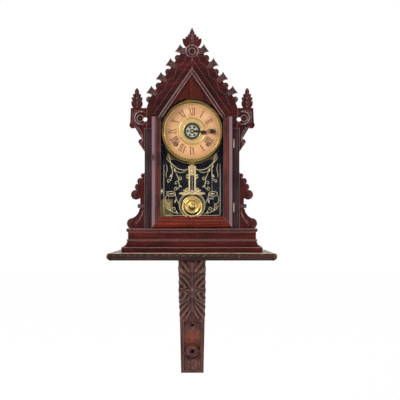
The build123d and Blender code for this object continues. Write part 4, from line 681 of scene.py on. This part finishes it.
def leaf_ribs(carving, axis_x, foot, tip, leaves, thick):
    """Ribs that fan from the foot of a finial to its leaf tips."""
    spine = [(axis_x, foot), (axis_x, (foot + tip) / 2), (axis_x, tip - 2)]
    carving.tube(on_face(spine, FACE - 0.2), thick * 1.3, 8, 1.1)
    for reach, height in leaves:
        for side in (-1, 1):
            start = height - 10 - reach * 0.35
            run = [(axis_x + side * 0.8, max(foot, start)), (axis_x + side * reach * 0.45, height - 6),
                   (axis_x + side * (reach - 1.2), height - 0.8)]
            carving.tube(on_face(run, FACE - 0.25), thick, 8)


def finial_carving():
    carving = Mesher()
    leaf_ribs(carving, 0, 464, 507.5, TOP_LEAVES, 1.5)
    for side in (-1, 1):
        leaf_ribs(carving, side * EAR_AXIS, 328, 370.4, EAR_LEAVES, 1.25)
    carving.make("finial_carving", WALNUT["ridge"])
    # Carved rings round the dishes and bosses, in light walnut: painted highlight
    rings = Mesher()
    for dish in DISH_ARCS:
        rings.tube(flat(arc(*dish, 30), FACE), 1, 8, 1, 0.6)
    for x, height in BOSSES:
        rings.tube(flat(arc(x, height, 7.2, 0, 360, 24), FACE - 1.6), 0.8, 8, 1, 1)
    rings.make("dish_rings", LINE_HIGHLIGHT)


def ear_carving():
    carving = Mesher()
    for inset in (3, 6.4):
        bevel = [(112, 322.5 - inset), (131 - inset * 0.4, 322.5 - inset), (138 - inset, 316 - inset * 0.4),
                 (137.6 - inset, 294 + inset * 0.3), (131 - inset, 286.5 + inset), (116, 285.5 + inset)]
        carving.pair(bevel, FACE - 0.2, 0.8, 6, 1, 0.7, curved=False)
    for shift in (0, 4.2, 8.4):
        run = [(131 - shift, 286 - shift * 0.4), (121 - shift * 0.8, 270),
               (113.5 - shift * 0.35, 256 - shift)]
        carving.pair(run, FACE - 0.2, 1.15, 6, 0.9)
    for radius in (3.6, 6.6):
        carving.pair(arc(111.5, 246, radius, -70, 80), FACE - 0.2, 1, 6, 0.9, curved=False)
    carving.make("ear_carving", WALNUT["ridge"])


def scroll_carving():
    carving = Mesher()
    for x, height, radius in SCROLL_LOBES:
        for r in (radius - 1.5, radius - 4.4, radius - 7.4):
            if r >= 1.6:
                carving.pair(arc(x, height, r, -75, 100), FACE - 0.2, 1.2, 8, 0.9, 0.4, curved=False)
    for shift in (0, 4.5):
        run = [(111, 94 - shift), (114.5, 84 - shift), (120, 74 - shift), (129, 66 - shift)]
        carving.pair(run, FACE - 0.2, 1, 6, 0.9)
    for height in (101.4, 103.8, 106.2):
        carving.pair([(109, height), (122.3, height)], FACE - 0.2, 0.8, 6, 0.9)
    carving.make("side_scroll_carving", WALNUT["ridge"])


# Carved upright of the bracket

UPRIGHT = (((111, -16), (111, -34), 0.22), ((111, -34), (97, -41), 0.4), ((97, -41), (68, -76), -0.16),
           ((68, -76), (68, -108), 0.25), ((68, -108), (24, -166), -0.17))
UPRIGHT_HALF = 30.2
UPRIGHT_FOOT_HALF = 26.3
TAPER_TOP, UPRIGHT_FOOT = -108, -287
LEAF_PITCH = 21


def bulged(start, end, bulge):
    """Points of an arc of depth and height; bulge is its rise as a share of its chord."""
    (d0, h0), (d1, h1) = start, end
    chord = hypot(d1 - d0, h1 - h0)
    steps = max(6, int(chord / 1.5))
    rise = bulge * chord
    radius = (chord * chord / 4 + rise * rise) / (2 * rise)
    out = (-(h1 - h0) / chord, (d1 - d0) / chord)
    centre = ((d0 + d1) / 2 + out[0] * (rise - radius), (h0 + h1) / 2 + out[1] * (rise - radius))
    a0 = atan2(h0 - centre[1], d0 - centre[0])
    a1 = a0 + remainder(atan2(h1 - centre[1], d1 - centre[0]) - a0, tau)
    reach = abs(radius)
    return [(centre[0] + reach * cos(a), centre[1] + reach * sin(a)) for a in even(a0, a1, steps)[:-1]]


def upright_front():
    """Front line of the upright from the shelf to the flat panel: depth and height."""
    line = [point for span in UPRIGHT for point in bulged(*span)]
    return line + [UPRIGHT[-1][1]]


def smoothstep(start, end, value):
    """0 at the start, 1 at the end, with soft ends; the start may be the larger number."""
    t = max(0, min(1, (value - start) / (end - start)))
    return t * t * (3 - 2 * t)


def leaf_relief(across, along, height):
    """Carved acanthus: lobes that run down to the rib, then fan out below the belly. Also gives a painted
    highlight for the lobe crests and the rib.
    """
    side = abs(across)
    turn = 1 - 2.2 * smoothstep(-82, -96, height)
    phase = (along + turn * 46 * side ** 0.8) / LEAF_PITCH
    lobe = (0.5 + 0.5 * cos(tau * phase)) ** 0.75
    vein = 0.5 + 0.5 * cos(tau * (4 * phase + 0.5))
    rib = exp(-(side / 0.07) ** 2)
    spread = smoothstep(0.05, 0.3, side)
    rise = 0.35 + 2 * rib + (4.2 * lobe + 1 * vein * lobe) * spread
    return rise, 0.4 * (lobe ** 4 * (0.5 + 0.5 * vein) * spread + 0.4 * rib)


def upright_leaf():
    line = upright_front()
    front, back, lobe_highlights = [], [], []
    along = 0
    for i, (depth, height) in enumerate(line):
        d0, h0 = line[max(i - 1, 0)]
        d1, h1 = line[min(i + 1, len(line) - 1)]
        long = hypot(d1 - d0, h1 - h0)
        out = (-(h1 - h0) / long, (d1 - d0) / long)
        along += hypot(depth - d0, height - h0)
        taper = max(0, (TAPER_TOP - height) / (TAPER_TOP - UPRIGHT_FOOT))
        half = UPRIGHT_HALF + (UPRIGHT_FOOT_HALF - UPRIGHT_HALF) * taper
        fade = smoothstep(-166, -150, height) * smoothstep(0, 3, along)
        row, under = [], []
        for across in even(-1, 1, 48):
            rise, lobe_highlight = leaf_relief(across, along, height)
            rise *= 0.25 + 0.75 * fade
            lobe_highlights.append(lobe_highlight * (0.3 + 0.7 * fade))
            edge = smoothstep(0.9, 1, abs(across))
            lobe = 0.5 + 0.5 * cos(tau * (along + 21) / LEAF_PITCH)
            rise *= 1 - edge * (1 - lobe)
            x = across * (half + 1.2 * lobe * smoothstep(0.7, 1, abs(across)))
            row.append(at(x, depth + out[0] * rise, height + out[1] * rise))
            under.append(at(x * 0.99, depth - out[0] * 1.5, height - out[1] * 1.5))
        front.append(row)
        back.append(under)
    leaf = Mesher()
    leaf.slab(front, back)
    mesh = leaf.make("upright_leaf_carving", WALNUT["bracket"], "case", "walnut_bracket").data
    # Painted highlight of the lobe crests, kept on each point for the material
    shade = mesh.attributes.new("lobe_highlight", "FLOAT", "POINT")
    shade.data.foreach_set("value", lobe_highlights + [0.0] * (len(mesh.vertices) - len(lobe_highlights)))


PANEL_DEPTH = 21
SCREW_HEIGHT, ROSETTE_HEIGHT = -176, -236
ROSETTE_R = 17.5
ROSETTE_HOLE_R = 5.6
PETALS = 7


def upright_rosette():
    """Curled leaf round the lower screw: a dome cut by turning petals."""
    front, back = [], []
    for part in even(0, 1, 14):
        r = ROSETTE_HOLE_R + (ROSETTE_R - ROSETTE_HOLE_R) * part
        row, under = [], []
        for turn in even(0, tau, 84):
            petal = abs(sin(PETALS * turn / 2 + 1.4 * part)) ** 0.6
            rise = 10.2 * (1 - part ** 2.2) ** 0.8 * (0.72 + 0.28 * petal) + 0.5
            rise *= smoothstep(-0.15, 0.12, part) * 0.3 + 0.7
            edge = 1 + 0.06 * petal * part
            row.append(at(r * edge * cos(turn), PANEL_DEPTH + rise, ROSETTE_HEIGHT + r * edge * sin(turn)))
            under.append(at(r * cos(turn), PANEL_DEPTH - 0.8, ROSETTE_HEIGHT + r * sin(turn)))
        front.append(row)
        back.append(under)
    rosette = Mesher()
    rosette.slab(front, back)
    for side in (-1, 1):
        run = [(side * 3, -258), (side * 12, -254), (side * 18, -244), (side * 20, -230), (side * 16, -216),
               (side * 8, -211), (side * 2, -207)]
        rosette.tube(on_face(run, PANEL_DEPTH + 0.6), 2, 8, 1)
    rosette.make("upright_rosette_carving", WALNUT["bracket"], "case", "walnut_bracket")


def upright_ground():
    """Punched ground of the lower panel and the leaf tips that run down on to it."""
    random.seed(7)
    ground = Mesher()
    for _ in range(330):
        x = random.uniform(-18.5, 18.5)
        height = random.uniform(-279, -172)
        clear_screw = hypot(x, height - SCREW_HEIGHT) > 8
        clear_rosette = hypot(x, height - ROSETTE_HEIGHT) > 20
        if clear_screw and clear_rosette:
            ground.dome(x, PANEL_DEPTH, height, random.uniform(0.9, 1.5), random.uniform(0.5, 0.9), 6, 2)
    for side in (-1, 1):
        border = [(side * 23.8, -166), (side * 23.3, -225), (side * 22.8, -281)]
        ground.tube(on_face(border, 24.1), 1.4, 8, 0.8, 0.7)
    line = upright_front()
    for i in range(5):
        x = (i - 2) * 7.6
        foot = -172 - 10 * (i % 2) - 0.5 * abs(x)
        run = []
        for k in range(12):
            height = -134 + (foot + 134) * k / 11
            depth = next((d for d, h in line if h <= height), PANEL_DEPTH + 1)
            run.append(at(x * (1.25 - 0.35 * k / 11), depth + 1, height))
        ground.tube(run, 2.4, 8, 0.8, 0.1)
    ground.make("upright_ground_carving", WALNUT["bracket"], "case", "walnut_bracket")


# Carved edge of the shelf

SHELF_FRONT_HALF, SHELF_BACK_HALF, SHELF_DEPTH = 186, 174, 160
EDGE_PITCH, EDGE_STEP = 15.5, 0.9
EDGE_SECTION = ((-6.2, 0.1), (-4.6, 0.05), (-2.4, -1), (-0.8, -3), (-0.1, -5.6), (0, -8.4), (-0.8, -11.2),
                (-2.6, -13.6), (-5, -15.2), (-7.6, -16))


def shelf_edge():
    """Leaf carving that runs round the front and the two ends of the shelf."""
    corners = [(-SHELF_BACK_HALF, 1), (-SHELF_FRONT_HALF, SHELF_DEPTH), (SHELF_FRONT_HALF, SHELF_DEPTH),
               (SHELF_BACK_HALF, 1)]
    front, back = [], []
    start = 0
    for (x0, d0), (x1, d1) in zip(corners, corners[1:]):
        long = hypot(x1 - x0, d1 - d0)
        out = (-(d1 - d0) / long, (x1 - x0) / long)
        for share in even(0, 1, int(long / EDGE_STEP)):
            x, depth, along = x0 + (x1 - x0) * share, d0 + (d1 - d0) * share, start + long * share
            wave = abs(sin(pi * along / EDGE_PITCH))
            flute = 0.5 + 0.5 * cos(tau * 5 * along / EDGE_PITCH)
            row, under = [], []
            for m, (inset, drop) in enumerate(EDGE_SECTION):
                t = m / (len(EDGE_SECTION) - 1)
                lobe = wave ** 0.55 * (0.35 + 0.65 * sin(pi * min(1, 0.12 + t)))
                push = inset + 0.2 + 1.55 * lobe * sin(pi * t) ** 0.7 + 0.4 * flute * sin(pi * t) * wave
                px, pd = x + out[0] * push, depth + out[1] * push
                # The front run widens and the side runs end on its line, so they meet in a mitre
                if d0 == d1:
                    px *= (SHELF_FRONT_HALF + push) / SHELF_FRONT_HALF
                elif depth > SHELF_DEPTH - 0.01:
                    pd = SHELF_DEPTH + push
                row.append(at(px, pd, drop + 0.25 * lobe))
                under.append(at(px - out[0] * 1.6, pd - out[1] * 1.6, max(-15.6, min(-0.4, drop))))
            front.append(row)
            back.append(under)
        start += long
    edge = Mesher()
    edge.slab(front, back)
    edge.make("shelf_edge_carving", WALNUT["shelf"], slot="walnut_bracket")


# Half width, depth, height and thickness of the painted highlight lines on the arrises of the base
BASE_ARRISES = ((147.2, 115.4, 51.8, 0.4), (146.2, 115, 27.4, 0.42), (157.6, 125.6, 11.3, 0.4))
ARRIS_BACK = 14


def highlight_lines():
    """Light lines along the arrises of the base mouldings and of the shelf's top edge: painted highlights."""
    lines = Mesher()
    for half, depth, height, thick in BASE_ARRISES:
        corners = [(-half, ARRIS_BACK), (-half, depth), (half, depth), (half, ARRIS_BACK)]
        for (x0, d0), (x1, d1) in zip(corners, corners[1:]):
            run = [at(x, d, height) for x, d in zip(even(x0, x1, 8), even(d0, d1, 8))]
            lines.tube(run, thick, 6, 1, 0.9)
    lines.make("base_highlight_lines", LINE_HIGHLIGHT)
    shelf = Mesher()
    shelf.tube([at(x, 159, 0) for x in even(-184.5, 184.5, 40)], 0.7, 6, 1, 0.9)
    shelf.make("shelf_highlight_line", SHELF_HIGHLIGHT, slot="walnut_bracket")


def hole_shade():
    """Dark discs behind the two screw holes: painted shade of the wall."""
    mesh = Mesher()
    for height in (SCREW_HEIGHT, ROSETTE_HEIGHT):
        mesh.prism(arc(0, height, 5, 0, 345, 23), -1.4, -0.6)
    obj = mesh.make("hole_shade", HOLE_DARK, None, smooth=False)


# Door trim and the gilt ornament on the glass

RAIL_FACE = 106.8
GILT_DEPTH = GLASS_BACK - 0.12
GILT_THICK, GILT_TAPER = 0.12, 0.4
CIRCLE_HEIGHT = 106.2


def gable_beads():
    """Row of tiny beads between the two bright edges of each gable rail."""
    for side, word in SIDES:
        beads = Mesher()
        for k in range(52):
            x, height = on_rake(3 + 2.5 * k, -4.4)
            beads.dome(side * x, RAIL_FACE + 0.1, height, 0.75, 0.9, 6, 2)
        beads.make(f"gable_beads_{word}", WALNUT[f"strip_{word}"], "door")
        # Light lines on the two edges of the rail: painted highlight
        lines = Mesher()
        for out, start in ((-1.1, 0.4), (-7.6, 5.5)):
            run = [on_rake(along, out) for along in even(start, 132, 20)]
            lines.tube(flat(mirrored(run, side), RAIL_FACE), 0.8, 6, 0.9, 0.8)
        lines.make(f"gable_lines_{word}", LINE_HIGHLIGHT, "door")


def gilt_leaf(gilt, x, height, turn, long, wide):
    """Small gilt leaf and its mirror image; turn is in degrees from +x."""
    for side in (-1, 1):
        tilt = radians(turn) if side > 0 else radians(180 - turn)
        outline = []
        for k in range(10):
            t = tau * k / 10
            along, across = long / 2 * (1 - cos(t)), wide / 2 * sin(t) * (0.8 + 0.2 * cos(t))
            outline.append((side * x + along * cos(tilt) - across * sin(tilt),
                            height + along * sin(tilt) + across * cos(tilt)))
        gilt.prism(outline, GILT_DEPTH - 0.1, GILT_DEPTH + 0.1)


def spiral(x, height, start, turns, radius, steps=18):
    """Curl that winds in to its middle."""
    points = []
    for share in even(0, 1, steps):
        turn = radians(start + 360 * turns * share)
        r = radius * (1 - 0.85 * share)
        points.append((x + r * cos(turn), height + r * sin(turn)))
    return points


# Strokes of the right half: points, thickness and, where it isn't the usual one, taper
GILT_LINES = (
    # Frame along the sight
    ([(63.4, 84), (63.6, 120), (63.6, 160), (63.2, 198)], 0.5, 0.58),
    ([(0, 82.8), (30, 82.8), (56, 82.8), (62.6, 84.2)], 0.5, 0.58),
    # Swag under the dial, with its bud
    ([(58, 213), (53, 206), (44.7, 198.7), (32.3, 188.5), (17.6, 185.2), (6.3, 188.6), (1.5, 191)], 0.72),
    ([(44, 193), (36, 183), (27, 179.5), (19, 181), (15, 184)], 0.5),
    # Outer drops
    ([(53, 221.3), (49.2, 205.5), (44.7, 185.2), (45.8, 169.4), (49.2, 160.4)], 0.68),
    (spiral(52.8, 160, 180, -1.2, 4.4), 0.58),
    ([(58.5, 200), (56, 188), (58.6, 176), (57.6, 168)], 0.5),
    # Sprays beside the pendulum
    ([(37.9, 182.9), (34.6, 175), (31.2, 167.1), (30.2, 158), (28.9, 146.8), (36.8, 138.9)], 0.68),
    (spiral(26.6, 165.5, 10, 1.2, 4.6), 0.62),
    (spiral(35.2, 155.9, 200, -1.1, 5.2), 0.58),
    (spiral(36, 143.4, -80, 1.15, 4.8), 0.58),
    # Loops that run in to the circle
    ([(47.4 + 9.9 * cos(radians(t)), 131.5 + 5.4 * sin(radians(t))) for t in range(0, 361, 24)], 0.62, 1),
    ([(44.7, 133.3), (37.9, 128.8), (34.5, 117.5), (27.8, 108.5)], 0.64),
    ([(57, 128), (60.5, 121), (59, 112), (53, 108.5), (48.5, 112)], 0.58),
    # Bottom corners
    ([(60, 106), (56, 98.5), (47, 92.5), (37, 88.5), (27, 87)], 0.64),
    (spiral(53.5, 103.5, 60, 1.2, 4.6), 0.55),
    (spiral(40.5, 97.5, -80, 1.2, 5.2), 0.58),
)
# Leaves of the right half: foot, turn, length and width
GILT_LEAVES = (
    (39.1, 189, -90, 8, 4.4), (46, 176, -60, 9, 3.4), (47.5, 196, -110, 8, 3.2),
    (29.6, 151, 215, 8, 3.2), (36.8, 119, -75, 9, 3.6), (42.5, 131.5, 0, 9, 3.4),
    (49, 93.5, 75, 7, 3), (33, 88, 60, 7, 3),
)


def gilt_ornament():
    gilt = Mesher()
    for points, thick, *taper in GILT_LINES:
        gilt.pair(points, GILT_DEPTH, thick, 6, GILT_THICK / thick, *(taper or [GILT_TAPER]))
    for leaf in GILT_LEAVES:
        gilt_leaf(gilt, *leaf)
    gilt.make("glass_gilt_scrolls", GILT_PAINT, "door", "gilt", smooth=False)
    circle = Mesher()
    for radius, wide in ((28.4, 1.3), (25.8, 0.6)):
        circle.flat_ring(radius, radius + wide, GILT_DEPTH - 0.1, GILT_DEPTH + 0.1, height=CIRCLE_HEIGHT)
    circle.make("glass_gilt_circle", GILT_PAINT, "door", "gilt", smooth=False)


def inner_lining():
    """Dark paper pasted on the backboard behind the pendulum."""
    sheet = Mesher()
    sheet.prism([(-97.6, 54), (97.6, 54), (97.6, 246), (-97.6, 246)], 16.02, 16.3)
    sheet.make("back_lining", LINING, smooth=False)


ORNAMENT_FOOT, ORNAMENT_TOP = 129.1, 191.1
# Leaves and sprigs: turn from upright, reach, foot's x and rise, steps, thickness and taper
ORNAMENT_VEINS = ((90, 26, 4.4, 3.5, 3, 1.5, 0.2), (64, 18, 4.4, 3.5, 3, 1.4, 0.2),
                  (101, 17, 4.4, 3.5, 3, 1.1, 0.2), (58, 9, 6.4, 37, 2, 0.9, 0.3),
                  (72, 8, 6.4, 44, 2, 0.9, 0.3))


def pendulum_trim():
    """Raised bars, rings and leaf veins on the gilt stamping of the pendulum."""
    trim = Mesher()
    front = -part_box("pendulum_ornament")[0][1] / MM
    foot, top = ORNAMENT_FOOT, ORNAMENT_TOP
    trim.pair([(6.6, h) for h in (foot + 9, foot + 22, top - 20, top)], front, 1.5, 8, 0.7, 0.8, curved=False)
    trim.pair(arc(11.6, foot + 12, 3.1, 0, 360, 18), front, 1, 8, 0.7, 1, curved=False)
    trim.pair([(5.6, top), (8, top + 2.2), (6.2, top + 4.4)], front, 1, 8, 0.7)
    for turn, reach, x, rise, steps, thick, taper in ORNAMENT_VEINS:
        run = [(x + r * sin(radians(turn)), foot + rise + r * cos(radians(turn)))
               for r in even(0, reach, steps)]
        trim.pair(run, front, thick, 8, 0.7, taper)
    trim.tube(on_face([(-4, top - 15), (0, top - 13.6), (4, top - 15)], front), 0.8, 8, 0.7, 0.5)
    trim.tube(on_face([(-3.4, top + 1), (0, top + 5.4), (3.4, top + 1)], front), 0.9, 8, 0.7, 0.5)
    trim.dome(0, front, top - 6, 3.2, 1.6, 16, 4)
    trim.dome(0, front, foot + 8.4, 3, 1.8, 16, 4)
    trim.make("pendulum_gilt_trim", GILT_BRIGHT, "pendulum", "gilt")


# Stage


def white_to_camera(tree, lit, seen, out):
    """Let camera, mirrors and glass see one shader, and light everything else by another."""
    path = tree.nodes.new("ShaderNodeLightPath")
    share = path.outputs["Is Camera Ray"]
    for ray in ("Is Glossy Ray", "Is Transmission Ray"):
        most = tree.nodes.new("ShaderNodeMath")
        most.operation = "MAXIMUM"
        tree.links.new(share, most.inputs[0])
        tree.links.new(path.outputs[ray], most.inputs[1])
        share = most.outputs[0]
    mix = tree.nodes.new("ShaderNodeMixShader")
    for source, socket in zip((share, lit.outputs[0], seen.outputs[0]), mix.inputs):
        tree.links.new(source, socket)
    tree.links.new(mix.outputs[0], tree.nodes.new(out).inputs[0])


def source(tree, kind, colour, strength):
    """Light source or diffuse node; strength goes to its second input."""
    made = tree.nodes.new(kind)
    made.inputs[0].default_value = (*colour, 1)
    made.inputs[1].default_value = strength
    return made


def world_light():
    world = bpy.data.worlds.new("studio")
    bpy.context.scene.world = world
    world.use_nodes = True
    tree = world.node_tree
    tree.nodes.clear()
    lit = source(tree, "ShaderNodeBackground", (1, 0.98, 0.97), 0.4)
    seen = source(tree, "ShaderNodeBackground", (1, 1, 1), 1)
    white_to_camera(tree, lit, seen, "ShaderNodeOutputWorld")


FLOOR_HALF, FLOOR_LEVEL = 6, -0.34


def floor():
    mesh = bpy.data.meshes.new("floor")
    corners = [(x * FLOOR_HALF, y * FLOOR_HALF, FLOOR_LEVEL) for x, y in ((-1, -1), (1, -1), (1, 1), (-1, 1))]
    mesh.from_pydata(corners, [], [(0, 1, 2, 3)])
    mat = bpy.data.materials.new("floor_white")
    mat.use_nodes = True
    tree = mat.node_tree
    tree.nodes.clear()
    lit = source(tree, "ShaderNodeBsdfDiffuse", (0.9, 0.9, 0.9), 0)
    glow = source(tree, "ShaderNodeEmission", (1, 1, 1), 1.04)
    part = tree.nodes.new("ShaderNodeMixShader")
    part.inputs[0].default_value = 0.93
    tree.links.new(lit.outputs[0], part.inputs[1])
    tree.links.new(glow.outputs[0], part.inputs[2])
    white_to_camera(tree, lit, part, "ShaderNodeOutputMaterial")
    mesh.materials.append(mat)
    obj = bpy.data.objects.new("floor", mesh)
    bpy.context.scene.collection.objects.link(obj)


def lamp(name, place, aim, size, power, glints=True):
    data = bpy.data.lights.new(name, "AREA")
    data.shape = "DISK"
    data.size = size
    data.energy = power
    obj = bpy.data.objects.new(name, data)
    obj.location = place
    obj.rotation_euler = (Vector(aim) - Vector(place)).to_track_quat("-Z", "Y").to_euler()
    obj.visible_glossy = glints
    bpy.context.scene.collection.objects.link(obj)


# Camera: horizon and axis cross in the middle of the 400 px picture
CAMERA_X, CAMERA_DISTANCE, CAMERA_HEIGHT = 18, 2200, 117.5
FOCAL_PX, PICTURE_PX, SENSOR_MM = 929.8, 400, 36


def camera():
    data = bpy.data.cameras.new("camera")
    data.sensor_width = SENSOR_MM
    data.lens = SENSOR_MM * FOCAL_PX / PICTURE_PX
    obj = bpy.data.objects.new("camera", data)
    obj.location = at(CAMERA_X, CAMERA_DISTANCE, CAMERA_HEIGHT)
    obj.rotation_euler = (radians(90), 0, 0)
    bpy.context.scene.collection.objects.link(obj)
    bpy.context.scene.camera = obj


turned_metal()
wood_bosses()
dial_printing()
crest_carving()
finial_carving()
ear_carving()
scroll_carving()
upright_leaf()
upright_rosette()
upright_ground()
shelf_edge()
highlight_lines()
hole_shade()
gable_beads()
gilt_ornament()
inner_lining()
pendulum_trim()
world_light()
floor()
lamp("key", (-1.5, -2.3, 1.5), (0, -0.08, 0.4), 0.9, 50)
lamp("fill", (1.9, -2, 0.7), (0, -0.08, 0.35), 1.2, 18)
lamp("front", (0.12, -2.7, 0.42), (0, -0.08, 0.45), 0.5, 12, glints=False)
camera()
bpy.context.scene.view_settings.view_transform = "Standard"
